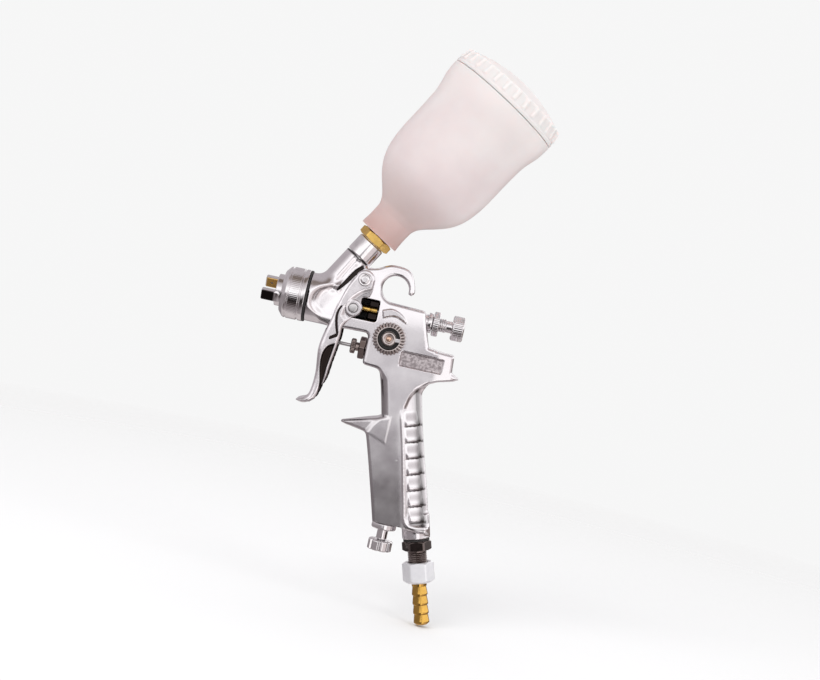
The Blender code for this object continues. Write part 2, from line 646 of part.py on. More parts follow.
def cup_group():
    joint = [(-24.5, 4.7), (-15.7, 4.7), (-15.7, 7.2), (-6.3, 7.2), (-6.3, 6.2), (9.2, 6.2)]
    turned("cup_joint", joint + [(9.2, 3.6), (-24.5, 3.3)], CUP, CHROME, steps=24, bored=True)
    bored_hexagon("cup_lock_nut", -6.0, -1.7, 15.6, 6.2 + GAP, CUP, BRASS)
    turned("cup", cup_wall(), CUP, NYLON, steps=32, bored=True)
    basket = [(12.8, 6.6), (13.7, 6.6), (13.7, 4.6), (24.0, 4.0), (24.0, 0.0), (23.2, 0.0)]
    basket += [(23.2, 3.2), (12.8, 3.8)]
    turned("cup_strainer", basket, CUP, NYLON, steps=20, bored=True)
    turned("cup_lid", lid_wall(), CUP, NYLON, steps=32, bored=True)


# ---------------------------------------------------------------- assembly

clear_scene()
GUN = new_collection("spray_gun")
HELPERS = new_collection("cutters")
gun_body()
spray_head()
needle_group()
trigger_group()
air_valve_group()
fan_valve_group()
air_adjust_group()
hose_group()
cup_group()
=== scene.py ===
"""Looks for the small gravity-feed spray gun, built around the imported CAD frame.

Shapes are worked out in millimetres and turned into metres when a mesh is made. The frame is the
CAD's: the origin is the centre of the air cap's face, +X runs back along the fluid needle, +Z is
up and the fan knob is on the -Y side.

Castings and pressings are distance fields: each is a function of x, y and z that is negative
inside the piece, and where_zero() meshes its surface. Turned pieces are profiles spun by spun().
"""

from math import cos, pi, radians, sin, sqrt, tan, tau

import bmesh
import bpy
import numpy as np
from mathutils import Matrix, Vector


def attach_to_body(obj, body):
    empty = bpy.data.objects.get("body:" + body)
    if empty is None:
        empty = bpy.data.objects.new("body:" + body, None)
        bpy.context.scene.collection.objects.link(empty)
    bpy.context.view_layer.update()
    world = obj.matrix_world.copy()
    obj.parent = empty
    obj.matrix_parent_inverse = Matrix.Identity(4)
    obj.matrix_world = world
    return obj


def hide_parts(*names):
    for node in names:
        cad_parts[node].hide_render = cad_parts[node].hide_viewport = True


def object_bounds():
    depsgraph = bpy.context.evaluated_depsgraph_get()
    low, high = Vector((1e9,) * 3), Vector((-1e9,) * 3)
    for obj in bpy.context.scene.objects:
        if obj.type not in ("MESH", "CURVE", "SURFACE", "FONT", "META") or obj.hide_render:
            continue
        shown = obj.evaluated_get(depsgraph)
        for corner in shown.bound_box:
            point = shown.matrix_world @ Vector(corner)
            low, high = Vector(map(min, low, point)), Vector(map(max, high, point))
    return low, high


MM = 0.001
FLOOR_RADIUS = 0.8

# Smallest turn between two faces of a turned piece that is drawn as a sharp edge
SHARP_ANGLE = radians(38)

# Body casting. WINDOW is a front, a back and a half height, PLATE_RECESS is a front, a back, a foot
# and a top, and HEAD_FLAT is the x, z and radius of the round flat on each side of the head.
HEAD_RADIUS = 12.2
HEAD_FRONT = 16.4
HEAD_BACK = 30.0
SPIGOT_RADIUS = 9.9
SLAB_HALF = 8.0
SLAB_TOP_HALF = 5.6
HANDLE_HALF = 8.8
HANDLE_FOOT = -102.5
HOOK_EYE = (58.0, 12.5)
HOOK_INSIDE = 6.8
WINDOW = (35.5, 52.2, 5.4)
PLATE_RECESS = (67.6, 89.4, -23.8, -16.3)
FAN_CENTRE = (60.3, -11.7)
HEAD_FLAT = (29.0, -0.8, 12.8)
TUBE_RADIUS = 7.1
BOSS_RADIUS = 7.0
FLUTE_DEPTH = 0.9

# Grip pads on the back of the handle, in the handle's own slanted directions
GRIP_START = (75.0, -44.0)
GRIP_LEAN = radians(14.6)
PAD_FIRST = 5.4
PAD_PITCH = 8.05
PAD_COUNT = 7

# Trigger
PIVOT = (42.5, 14.3)
BARREL = (39.7, -0.6)
FLANGE_OUT = 9.9
SHEET = 1.3

# Air cap: how far its horns reach forward, their inner and outer faces, and half their width
CAP_HORN_TIP = -6.8
CAP_HORN_INNER = 4.6
CAP_HORN_OUTER = 7.9
CAP_HORN_HALF = 2.8
CAP_HORN_TURNS = (radians(210.0), radians(30.0))

# Hexagons, across their flats
PIVOT_NUT = 5.5
VALVE_GLAND = 11.0
NIPPLE = 13.0
HOSE_NUT = 14.0
CUP_NUT = 15.6

# Axes of the assembly: a point and a direction that distances are counted along
CUP_TILT = radians(31.0)
HOSE_TILT = radians(16.0)
SPRAY = ((0.0, 0.0, 0.0), (1.0, 0.0, 0.0))
AIR_VALVE = ((0.0, 0.0, -19.4), (1.0, 0.0, 0.0))
FAN = ((FAN_CENTRE[0], 0.0, FAN_CENTRE[1]), (0.0, 1.0, 0.0))
PIVOT_AXIS = ((PIVOT[0], 0.0, PIVOT[1]), (0.0, 1.0, 0.0))
BARREL_AXIS = ((BARREL[0], 0.0, BARREL[1]), (0.0, 1.0, 0.0))
ADJUST = ((77.6, 0.0, HANDLE_FOOT), (0.0, 0.0, -1.0))
HOSE = ((94.8, 0.0, -107.0), (sin(HOSE_TILT), 0.0, -cos(HOSE_TILT)))
CUP = ((44.748, 0.0, 38.11), (sin(CUP_TILT), 0.0, cos(CUP_TILT)))
TUBE_END = -16.0


# ---------------------------------------------------------------- outlines in the XZ plane


def arc(centre, radius, start, end, steps):
    """Points on a circle, from one angle to another in degrees."""
    angles = [radians(start + (end - start) * k / steps) for k in range(steps + 1)]
    return [(centre[0] + radius * cos(a), centre[1] + radius * sin(a)) for a in angles]


def curve(points, steps=5):
    """A smooth curve through the points, as a polyline from the first to the last."""
    ends = [points[0]] + list(points) + [points[-1]]
    path = []
    for p0, p1, p2, p3 in zip(ends, ends[1:], ends[2:], ends[3:]):
        for k in range(steps):
            t = k / steps
            weights = (
                -0.5 * t + t * t - 0.5 * t**3,
                1 - 2.5 * t * t + 1.5 * t**3,
                0.5 * t + 2 * t * t - 1.5 * t**3,
                -0.5 * t * t + 0.5 * t**3,
            )
            path.append(tuple(
                sum(w * p[i] for w, p in zip(weights, (p0, p1, p2, p3))) for i in (0, 1)
            ))
    return path + [tuple(points[-1])]


def rounded(corners, steps=5):
    """A closed outline from (x, z) or (x, z, radius) corners."""
    outline = []
    for i, corner in enumerate(corners):
        here = Vector(corner[:2])
        if len(corner) == 2:
            outline.append(tuple(here))
            continue
        back = (Vector(corners[i - 1][:2]) - here).normalized()
        ahead = (Vector(corners[(i + 1) % len(corners)][:2]) - here).normalized()
        half_angle = back.angle(ahead) / 2
        centre = here + (back + ahead).normalized() * corner[2] / sin(half_angle)
        start = (here + back * corner[2] / tan(half_angle) - centre).normalized()
        end = (here + ahead * corner[2] / tan(half_angle) - centre).normalized()
        for k in range(steps + 1):
            outline.append(tuple(centre + start.slerp(end, k / steps) * corner[2]))
    return outline


# ---------------------------------------------------------------- distance fields


def outline_field(x, z, outline):
    """Distance in the XZ plane to a closed outline, negative inside it."""
    nearest = np.inf
    inside = False
    for (ax, az), (bx, bz) in zip(outline, outline[1:] + outline[:1]):
        ex, ez = bx - ax, bz - az
        length = ex * ex + ez * ez
        if length < 1e-12:
            continue
        px, pz = x - ax, z - az
        t = np.clip((px * ex + pz * ez) / length, 0, 1)
        nearest = np.minimum(nearest, (px - ex * t) ** 2 + (pz - ez * t) ** 2)
        if ez:
            crosses = ((az > z) != (bz > z)) & (px < ex * pz / ez)
            inside = inside ^ crosses
    return np.where(inside, -1.0, 1.0) * np.sqrt(nearest)


def thick(flat, side, half, edge):
    """Gives a flat field a thickness to each side, with its edges rounded."""
    a = flat + edge
    b = side - half + edge
    outside = np.sqrt(np.maximum(a, 0) ** 2 + np.maximum(b, 0) ** 2)
    return np.minimum(np.maximum(a, b), 0) + outside - edge


def rod(p, axis, start, end, radius, edge=0.0):
    """Distance to a cylinder between two distances along an axis."""
    (ox, oy, oz), (dx, dy, dz) = axis
    qx, qy, qz = p[0] - ox, p[1] - oy, p[2] - oz
    s = qx * dx + qy * dy + qz * dz
    r = np.sqrt(np.maximum(qx * qx + qy * qy + qz * qz - s * s, 0))
    return thick(r - radius, np.abs(s - (start + end) / 2), (end - start) / 2, edge)


def box(p, low, high, edge=0.0):
    """Distance to a block between two corners."""
    parts = [np.abs(p[i] - (low[i] + high[i]) / 2) - (high[i] - low[i]) / 2 + edge for i in range(3)]
    outside = np.sqrt(sum(np.maximum(part, 0) ** 2 for part in parts))
    return np.minimum(np.maximum(np.maximum(parts[0], parts[1]), parts[2]), 0) + outside - edge


def joined(a, b, fillet):
    """The union of two fields, with a fillet where they meet."""
    h = np.clip(0.5 + 0.5 * (b - a) / fillet, 0, 1)
    return b + (a - b) * h - fillet * h * (1 - h)


def cut(a, b, fillet):
    """What is left of the first field when the second is taken away."""
    return -joined(-a, b, fillet)


def bump(value, centre, width):
    """A smooth hill of height 1."""
    return np.exp(-(((value - centre) / width) ** 2))


def ramp(value, low, high):
    """0 below low, 1 above high, smooth in between."""
    t = np.clip((value - low) / (high - low), 0, 1)
    return t * t * (3 - 2 * t)


def where_zero(name, field, low, high, step, finish, masks=None):
    """Meshes the surface where the field is zero, inside a box.

    One vertex is put in every cell of a grid that the surface passes through, and then moved onto
    the surface along the field's slope. The slopes also give the normals.
    """
    grid = [np.arange(a, b + step, step) for a, b in zip(low, high)]
    shape = tuple(len(line) for line in grid)
    x, y, z = grid[0][:, None, None], grid[1][None, :, None], grid[2][None, None, :]
    values = np.broadcast_to(field((x, y, z)), shape)
    inside = values < 0
    cells = np.array(shape) - 1
    owners, points, quads = [], [], []
    for axis in range(3):
        others = [i for i in range(3) if i != axis]
        here = [slice(None)] * 3
        there = [slice(None)] * 3
        here[axis], there[axis] = slice(0, -1), slice(1, None)
        changes = inside[tuple(here)] != inside[tuple(there)]
        index = np.argwhere(changes)
        index = index[(index[:, others] > 0).all(1) & (index[:, others] < cells[others]).all(1)]
        after = index.copy()
        after[:, axis] += 1
        v0, v1 = values[tuple(index.T)], values[tuple(after.T)]
        place = index.astype(float)
        place[:, axis] += v0 / (v0 - v1)
        ring = []
        for db, dc in ((0, 0), (1, 0), (1, 1), (0, 1)):
            cell = index.copy()
            cell[:, others[0]] -= db
            cell[:, others[1]] -= dc
            ring.append((cell[:, 0] * cells[1] + cell[:, 1]) * cells[2] + cell[:, 2])
            owners.append(ring[-1])
            points.append(place)
        quad = np.stack(ring, 1)
        backwards = inside[tuple(index.T)] != (axis != 1)
        quad[backwards] = quad[backwards][:, ::-1]
        quads.append(quad)
    used, owner = np.unique(np.concatenate(owners), return_inverse=True)
    owner = owner.reshape(-1)
    count = np.bincount(owner)
    points = np.concatenate(points)
    middle = np.stack([np.bincount(owner, points[:, i]) / count for i in range(3)], 1)
    vertices = middle * step + np.array([line[0] for line in grid])
    quads = np.searchsorted(used, np.concatenate(quads))
    vertices, normals = settle(vertices, field)
    mesh = bpy.data.meshes.new(name)
    mesh.from_pydata((vertices * MM).tolist(), [], quads.tolist())
    mesh.shade_smooth()
    mesh.normals_split_custom_set_from_vertices(normals.tolist())
    for label, mask in (masks or {}).items():
        layer = mesh.attributes.new(label, "FLOAT", "POINT")
        layer.data.foreach_set("value", mask(tuple(vertices.T)).astype(np.float32))
    return shown(name, mesh, finish)


def settle(vertices, field):
    """The vertices moved onto the field's zero, and the outward normals there."""
    reach = 0.02
    for last in (False, False, True):
        value = field(tuple(vertices.T))
        slopes = []
        for i in range(3):
            ahead, behind = vertices.copy(), vertices.copy()
            ahead[:, i] += reach
            behind[:, i] -= reach
            slopes.append((field(tuple(ahead.T)) - field(tuple(behind.T))) / (2 * reach))
        slopes = np.stack(slopes, 1)
        length = np.maximum(np.linalg.norm(slopes, axis=1), 0.3)[:, None]
        if not last:
            move = np.clip(value[:, None] / length, -0.2, 0.2) * slopes / length
            vertices = vertices - move
    return vertices, slopes / np.maximum(np.linalg.norm(slopes, axis=1), 1e-6)[:, None]


# ---------------------------------------------------------------- turned pieces


def place_of(axis):
    """A frame on the axis whose local +Z runs along it."""
    turn = Vector(axis[1]).to_track_quat("Z", "Y")
    return Matrix.Translation(Vector(axis[0]) * MM) @ turn.to_matrix().to_4x4()


def shown(name, mesh, finish, place=None):
    """Adds the mesh to the scene, moved to its place in the shared frame."""
    if place:
        mesh.transform(place)
    obj = bpy.data.objects.new(name, mesh)
    bpy.context.scene.collection.objects.link(obj)
    mesh.materials.append(finish)
    return obj


def softened(profile, default):
    """Rounds the corners of a profile of (distance, radius) or (distance, radius, rounding)."""
    full = [(*point, default) if len(point) == 2 else point for point in profile]
    path = []
    for i, (s, r, rounding) in enumerate(full):
        here = Vector((s, r))
        back = Vector(full[i - 1][:2]) - here
        ahead = Vector(full[(i + 1) % len(full)][:2]) - here
        straight = back.length < 1e-6 or ahead.length < 1e-6 or back.angle(ahead) > pi - 0.02
        if r < 1e-6 or rounding <= 0 or straight:
            path.append((s, r))
            continue
        reach = min(rounding, 0.45 * back.length, 0.45 * ahead.length)
        start = here + back.normalized() * reach
        end = here + ahead.normalized() * reach
        for k in range(5):
            t = k / 4
            point = start * (1 - t) ** 2 + here * 2 * t * (1 - t) + end * t * t
            path.append(tuple(point))
    return path


def divided(path, start, end, step):
    """Adds points to the stretches of a profile that lie between two distances."""
    fine = [path[0]]
    for (s0, r0), (s1, r1) in zip(path, path[1:]):
        pieces = 1
        if min(s0, s1) > start - 0.6 and max(s0, s1) < end + 0.6:
            pieces = max(1, round(sqrt((s1 - s0) ** 2 + (r1 - r0) ** 2) / step))
        fine += [(s0 + (s1 - s0) * k / pieces, r0 + (r1 - r0) * k / pieces) for k in range(1, pieces + 1)]
    return fine


def spun(name, profile, axis, finish, form=None, sides=96, edge=0.25, fine=None, grime=0.0):
    """A turned piece: a closed profile spun about an axis.

    form(distance, angle, radius) may change the radius, for knurls, threads and hexagons, and
    fine = (start, end, step) gives it points to work on. Valleys as deep as the last value turn dark with
    painted shade.
    """
    path = softened(profile, edge)
    if fine:
        path = divided(path + path[:1], *fine)[:-1]
    s = np.array([point[0] for point in path])[:, None]
    r = np.array([point[1] for point in path])[:, None]
    angle = np.arange(sides)[None, :] * tau / sides
    radius = np.broadcast_to(r, (len(path), sides))
    if form:
        radius = np.where(r > 1e-6, form(s, angle, radius), 0.0)
    ring = np.stack([radius * np.cos(angle), radius * np.sin(angle), s + 0 * angle], 2)
    index = np.arange(len(path) * sides).reshape(len(path), sides)
    after, aside = np.roll(index, -1, 0), np.roll(index, -1, 1)
    quads = np.stack([index, aside, np.roll(after, -1, 1), after], 2)
    on_axis = (r[:, 0] < 1e-6) & (np.roll(r[:, 0], -1) < 1e-6)
    quads = quads[~on_axis].reshape(-1, 4)
    mesh = bpy.data.meshes.new(name)
    mesh.from_pydata((ring.reshape(-1, 3) * MM).tolist(), [], quads.tolist())
    layer = mesh.attributes.new("along", "FLOAT", "POINT")
    layer.data.foreach_set("value", np.repeat(s[:, 0], sides).astype(np.float32))
    # Painted shade: the valleys of knurls, threads and scallops are darkened by their depth
    if grime:
        layer = mesh.attributes.new("shade", "FLOAT", "POINT")
        depth = np.clip((r - radius) / grime, 0.0, 1.0) ** 2 * 0.85
        layer.data.foreach_set("value", depth.reshape(-1).astype(np.float32))
    shape = bmesh.new()
    shape.from_mesh(mesh)
    bmesh.ops.remove_doubles(shape, verts=shape.verts, dist=1e-7)
    bmesh.ops.recalc_face_normals(shape, faces=shape.faces)
    shape.to_mesh(mesh)
    shape.free()
    mesh.shade_smooth()
    mesh.set_sharp_from_angle(angle=SHARP_ANGLE)
    return shown(name, mesh, finish, place_of(axis))


def attach(obj, body, slot, *nodes):
    """Lets a piece ride on its CAD body and stand for CAD nodes."""
    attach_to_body(obj, body)
    if nodes:
        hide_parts(*nodes)
    return obj


def turned(name, profile, axis, finish, body, slot, *nodes, **cutting):
    """A turned piece that rides on its CAD body. The last values are those of spun()."""
    return attach(spun(name, profile, axis, finish, **cutting), body, slot, *nodes)


def tooth(angle, count):
    """A wave from 0 to 1 with rounded crests and pointed valleys."""
    return np.abs(np.sin(angle * count / 2))


def knurled(start, end, count, depth, least=0.0):
    """A straight knurl, in everything wider than least, that fades out at both ends."""

    def form(s, angle, radius):
        fade = ramp(s, start, start + 0.5) * (1 - ramp(s, end - 0.5, end)) * (radius > least)
        return radius - depth * fade * (1 - tooth(angle, count))

    return form


def threaded(start, end, pitch, depth, least):
    """A thread cut into everything wider than least."""

    def form(s, angle, radius):
        turn = (s / pitch - angle / tau) % 1.0
        groove = np.abs(2 * turn - 1) ** 1.5
        fade = ramp(s, start, start + pitch) * (1 - ramp(s, end - pitch, end))
        return radius - depth * groove * fade * (radius > least)

    return form


def hexagonal(start, end, across_flats, turn=0.0):
    """Limits the radius to a hexagon with slightly rounded corners."""

    def form(s, angle, radius):
        sharp = 60.0
        total = sum(np.abs(np.cos(angle + turn + k * pi / 3)) ** sharp for k in range(3))
        limit = across_flats / 2 * total ** (-1 / sharp)
        on_hexagon = (s > start - 1e-6) & (s < end + 1e-6)
        return np.where(on_hexagon, np.minimum(radius, limit), radius)

    return form


def in_turn(*forms):
    """Applies several forms one after the other."""
    def form(s, angle, radius):
        for each in forms:
            radius = each(s, angle, radius)
        return radius

    return form


# ---------------------------------------------------------------- materials


def node(tree, kind, values=None, **settings):
    """Adds a shader node. Values are inputs: numbers, colours or the sockets that feed them."""
    made = tree.nodes.new(kind)
    for key, value in settings.items():
        setattr(made, key, value)
    for key, value in (values or {}).items():
        if isinstance(value, bpy.types.NodeSocket):
            tree.links.new(value, made.inputs[key])
        else:
            made.inputs[key].default_value = value
    return made


def blend_of(tree, factor, first, second):
    """A colour between two colours or sockets."""
    mix = node(tree, "ShaderNodeMix", {"Factor": factor}, data_type="RGBA")
    for socket, value in ((mix.inputs[6], first), (mix.inputs[7], second)):
        if isinstance(value, bpy.types.NodeSocket):
            tree.links.new(value, socket)
        else:
            socket.default_value = (*value, 1.0)
    return mix.outputs[2]


def spread(tree, value, low, high, from_low=0.0, from_high=1.0):
    """A number moved from one range to another."""
    settings = {"Value": value, 1: from_low, 2: from_high, 3: low, 4: high}
    return node(tree, "ShaderNodeMapRange", settings).outputs[0]


def noise(tree, scale, detail=3.0, where=None):
    """A noise texture's value, in the piece's own coordinates unless it is told where."""
    values = {"Scale": scale, "Detail": detail}
    if where is None:
        where = node(tree, "ShaderNodeTexCoord").outputs["Object"]
    values["Vector"] = where
    return node(tree, "ShaderNodeTexNoise", values).outputs[0]


def attribute(tree, name):
    """The value of one of the mesh's own layers."""
    return node(tree, "ShaderNodeAttribute", attribute_name=name).outputs["Fac"]


def new_material(name, **values):
    material = bpy.data.materials.new(name)
    material.use_nodes = True
    surface = material.node_tree.nodes["Principled BSDF"]
    for key, value in values.items():
        surface.inputs[key.replace("_", " ")].default_value = value
    return material, material.node_tree, surface


def bumped(tree, surface, height, strength, distance):
    """Feeds a height into the surface as a bump."""
    bump_node = node(tree, "ShaderNodeBump", {"Height": height, "Strength": strength, "Distance": distance})
    tree.links.new(bump_node.outputs[0], surface.inputs["Normal"])


def lathe_marks(tree):
    """Fine rings around a turned piece."""
    rings = node(tree, "ShaderNodeMath", {0: attribute(tree, "along"), 1: 9.0}, operation="MULTIPLY")
    where = node(tree, "ShaderNodeCombineXYZ", {"X": rings.outputs[0]}).outputs[0]
    return noise(tree, 1.0, 2.0, where)


def cast_metal():
    """Polished die casting: satin, a little cloudy, grainy in the recessed plate."""
    material, tree, surface = new_material("cast_aluminium", Metallic=1.0)
    cloud = noise(tree, 90.0, 4.0)
    grain = noise(tree, 2400.0, 2.0)
    plate = attribute(tree, "plate")
    wear = node(tree, "ShaderNodeNewGeometry").outputs["Pointiness"]
    clean = blend_of(tree, spread(tree, cloud, 0.0, 1.0, 0.3, 0.7), (0.78, 0.75, 0.77), (0.86, 0.84, 0.855))
    edges = blend_of(tree, spread(tree, wear, 0.0, 0.6, 0.52, 0.62), clean, (0.97, 0.95, 0.96))
    pits = noise(tree, 900.0, 2.0)
    dappled = blend_of(tree, spread(tree, pits, 0.0, 1.0, 0.40, 0.60), (0.36, 0.32, 0.33), (0.64, 0.59, 0.60))
    colour = blend_of(tree, plate, edges, dappled)
    # Painted shade: the mesh's shade layer mixes the colour towards near-black
    colour = blend_of(tree, attribute(tree, "shade"), colour, (0.035, 0.028, 0.026))
    tree.links.new(colour, surface.inputs["Base Color"])
    rough = node(tree, "ShaderNodeMath", {0: spread(tree, cloud, 0.15, 0.24, 0.3, 0.7)}, operation="ADD")
    tree.links.new(spread(tree, plate, 0.0, 0.22), rough.inputs[1])
    tree.links.new(rough.outputs[0], surface.inputs["Roughness"])
    stipple = node(tree, "ShaderNodeMath", {0: pits, 1: plate}, operation="MULTIPLY").outputs[0]
    height = node(tree, "ShaderNodeMath", {0: stipple, 1: 6.0, 2: grain}, operation="MULTIPLY_ADD")
    bumped(tree, surface, height.outputs[0], 0.16, 0.00006)
    return material


def plated_metal(name, colour, roughness, marks=True):
    """Turned or pressed metal with a bright plated face."""
    material, tree, surface = new_material(name, Metallic=1.0)
    cloud = noise(tree, 260.0, 3.0)
    stained = tuple(channel * 0.80 for channel in colour)
    tint = blend_of(tree, spread(tree, cloud, 0.0, 1.0, 0.35, 0.8), colour, stained)
    # Painted shade: the mesh's shade layer darkens the plate towards black
    tint = blend_of(tree, attribute(tree, "shade"), tint, (0.03, 0.022, 0.02))
    tree.links.new(tint, surface.inputs["Base Color"])
    tree.links.new(spread(tree, cloud, roughness, roughness * 1.9, 0.35, 0.8), surface.inputs["Roughness"])
    height = lathe_marks(tree) if marks else noise(tree, 1500.0, 2.0)
    bumped(tree, surface, height, 0.12, 0.00004)
    return material


def cap_metal():
    """Plated brass, bare on the inner faces of the air horns."""
    material, tree, surface = new_material("air_cap_plate", Metallic=1.0)
    bare = attribute(tree, "bare")
    cloud = noise(tree, 500.0, 3.0)
    worn = blend_of(tree, cloud, (0.88, 0.60, 0.20), (0.70, 0.42, 0.12))
    tint = blend_of(tree, bare, (0.80, 0.78, 0.79), worn)
    # Painted dark reflection on the outer faces of the horns, from the shade layer
    tint = blend_of(tree, attribute(tree, "shade"), tint, (0.03, 0.025, 0.025))
    tree.links.new(tint, surface.inputs["Base Color"])
    tree.links.new(spread(tree, bare, 0.14, 0.34), surface.inputs["Roughness"])
    bumped(tree, surface, noise(tree, 1500.0, 2.0), 0.1, 0.00004)
    return material


def seal_rubber():
    """Dull black rubber."""
    material, tree, surface = new_material("seal_rubber", Base_Color=(0.018, 0.016, 0.016, 1.0))
    tree.links.new(spread(tree, noise(tree, 700.0), 0.45, 0.7), surface.inputs["Roughness"])
    bumped(tree, surface, noise(tree, 2500.0), 0.2, 0.00004)
    return material


def packing_plastic():
    """Off-white packing plastic."""
    material, tree, surface = new_material("packing_plastic", Base_Color=(0.88, 0.87, 0.84, 1.0))
    tree.links.new(spread(tree, noise(tree, 900.0), 0.4, 0.6), surface.inputs["Roughness"])
    return material


def satin_nickel():
    """A whiter, duller plate than the rest."""
    material, tree, surface = new_material("satin_nickel", Metallic=0.55, Roughness=0.3)
    cloud = noise(tree, 300.0, 3.0)
    tint = blend_of(tree, spread(tree, cloud, 0.0, 1.0, 0.3, 0.7), (0.80, 0.80, 0.83), (0.88, 0.88, 0.90))
    tree.links.new(tint, surface.inputs["Base Color"])
    bumped(tree, surface, noise(tree, 1500.0, 2.0), 0.1, 0.00004)
    return material


def milky_nylon():
    """Translucent moulded nylon: faintly pink, denser at the neck, whiter at the lid, with painted shade
    where it turns away from the view.
    """
    material, tree, surface = new_material(
        "milky_nylon", Subsurface_Weight=0.7, Subsurface_Scale=0.004, IOR=1.5
    )
    surface.inputs["Subsurface Radius"].default_value = (1.0, 0.7, 0.65)
    cloud = noise(tree, 38.0, 3.0)
    body = blend_of(tree, spread(tree, cloud, 0.0, 1.0, 0.3, 0.7), (0.70, 0.60, 0.60), (0.76, 0.68, 0.67))
    along = attribute(tree, "along")
    tint = blend_of(tree, spread(tree, along, 0.9, 0.0, 0.0, 34.0), body, (0.50, 0.33, 0.30))
    tint = blend_of(tree, spread(tree, along, 0.0, 0.7, 62.0, 92.0), tint, (0.80, 0.77, 0.75))
    # Painted shade: darker where the surface turns away from the view
    facing = node(tree, "ShaderNodeLayerWeight", {"Blend": 0.25}).outputs["Facing"]
    tint = blend_of(tree, spread(tree, facing, 0.0, 0.5, 0.3, 1.0), tint, (0.50, 0.37, 0.36))
    tree.links.new(tint, surface.inputs["Base Color"])
    tree.links.new(spread(tree, cloud, 0.34, 0.46, 0.3, 0.7), surface.inputs["Roughness"])
    bumped(tree, surface, noise(tree, 420.0, 4.0), 0.1, 0.0001)
    return material


# ---------------------------------------------------------------- body casting


def slab_outline():
    """Seen from the side: head block, hook, valve block and the bridge under the needle."""
    lower = rounded([(18.8, 4.0, 3.0), (18.8, -5.0, 3.0), (24.6, -10.6, 3.0), (30.0, -11.9, 1.5),
                     (49.8, -11.3, 2.2), (49.8, -27.0, 1.8), (60.0, -27.8), (84.0, -28.0),
                     (84.0, -13.0), (80.4, -12.4, 1.0), (77.0, -2.0), (75.0, 5.2, 1.6)])
    inside = arc(HOOK_EYE, HOOK_INSIDE, 262.0, -6.0, 28)
    outside = curve([(66.2, 11.0), (67.6, 12.6), (67.0, 16.2), (65.6, 20.0), (63.6, 22.9),
                     (60.4, 24.1), (55.0, 24.3), (51.4, 23.3), (47.8, 21.4), (43.0, 20.2)])
    return lower + inside + outside + [(36.0, 20.0)]


def handle_outline():
    """The handle seen from the side, run on past its foot so that the foot can be cut flat."""
    front = curve([(57.6, -24.0), (61.2, -36.0), (64.6, -50.0)], 3) + [(61.0, -54.5)]
    front += curve([(58.6, -59.4), (60.2, -64.0), (65.2, -80.5), (71.9, -104.0)], 4)
    back = curve([(100.6, -106.0), (95.9, -86.0), (90.6, -68.0), (85.5, -50.0), (82.8, -39.0),
                  (81.6, -33.4)], 4)
    return front + [(73.0, -112.0), (102.0, -112.0)] + back + [(83.4, -24.0)]


def tail_outline():
    """The block behind the valves, and its lip over the grip."""
    return rounded([(76.0, -12.6), (93.8, -13.4, 1.4), (94.4, -22.4, 1.2), (98.8, -24.5, 0.5),
                    (96.0, -25.9), (88.0, -28.0), (84.6, -29.8), (82.2, -33.4), (79.0, -36.0), (72.0, -36.0)])


def finger_rest_outline():
    """The thin spur in front of the handle."""
    top = curve([(70.0, -49.4), (62.0, -51.6), (52.0, -54.6), (45.6, -56.6)], 3)
    tip = [(45.2, -57.1), (45.6, -57.8)]
    return top + tip + curve([(48.0, -58.4), (54.0, -59.1), (59.0, -60.0), (70.0, -64.0)], 3)


def fan_mark_outline():
    """The wedge above the fan knob that narrows from full pattern to none."""
    around = [(14.2, 115.0), (14.4, 97.0), (13.7, 83.0), (12.7, 68.0), (11.5, 54.0)]
    around += [(11.2, 67.0), (11.5, 82.0), (11.3, 97.0), (10.9, 117.0)]
    wedge = [(FAN_CENTRE[0] + r * cos(radians(a)), FAN_CENTRE[1] + r * sin(radians(a))) for r, a in around]
    return curve(wedge[:5], 4) + curve(wedge[4:], 4)


def grip_panel_outline():
    """The sunken panel on the back of the handle that holds the pads."""
    edge = curve([(90.0, -27.0), (83.5, -30.2), (79.0, -32.9), (76.2, -36.5), (74.9, -41.0), (74.8, -46.0),
                  (79.0, -62.0), (83.2, -80.0), (86.0, -92.0), (87.3, -97.6), (89.4, -100.4),
                  (93.0, -101.0), (97.5, -100.0)], 4)
    return edge + [(106.0, -98.0), (106.0, -27.0)]


def pad_place(x, z):
    """Place within the nearest pad, -1 to 1 down the handle, and the distance across the handle."""
    dx, dz = x - GRIP_START[0], GRIP_START[1] - z
    down = dx * sin(GRIP_LEAN) + dz * cos(GRIP_LEAN)
    across = dx * cos(GRIP_LEAN) - dz * sin(GRIP_LEAN)
    number = np.clip(np.round((down - PAD_FIRST) / PAD_PITCH), 0, PAD_COUNT - 1)
    return (down - PAD_FIRST - number * PAD_PITCH) / (PAD_PITCH / 2), across


def grip_relief(x, z):
    """How far the back of the handle is cut down around its raised pads, in millimetres."""
    edge = outline_field(x, z, grip_panel_outline())
    a, across = pad_place(x, z)
    panel = (1.1 + 0.028 * np.clip(across + 1.0, 0, 11.0) ** 2) * ramp(-edge, 0.0, 1.8)
    bead = 0.3 * bump(edge, 0.7, 0.7) * (1 - ramp(z, -50.0, -44.0))
    rise = ramp(a, -1.05, 0.55) * (1 - ramp(a, 0.66, 1.0))
    width = ramp(across, -0.6, 1.2) * (1 - ramp(across, 5.6, 8.4))
    return panel - bead - 1.7 * rise * width


def grip_shade(x, z):
    """Painted shade: dark valleys between the pads, and a brown strip behind them."""
    a, across = pad_place(x, z)
    inside = ramp(-outline_field(x, z, grip_panel_outline()), 0.0, 0.8)
    valley = 0.9 * bump(a, 0.94, 0.16 + 0.16 * ramp(across, 1.0, 7.0)) * ramp(across, -0.3, 1.0)
    strip = (0.66 + 0.30 * bump(a, 0.8, 0.6)) * bump(across, 6.7, 1.7)
    return inside * np.maximum(valley, strip) * (1 - ramp(across, 8.4, 9.2))


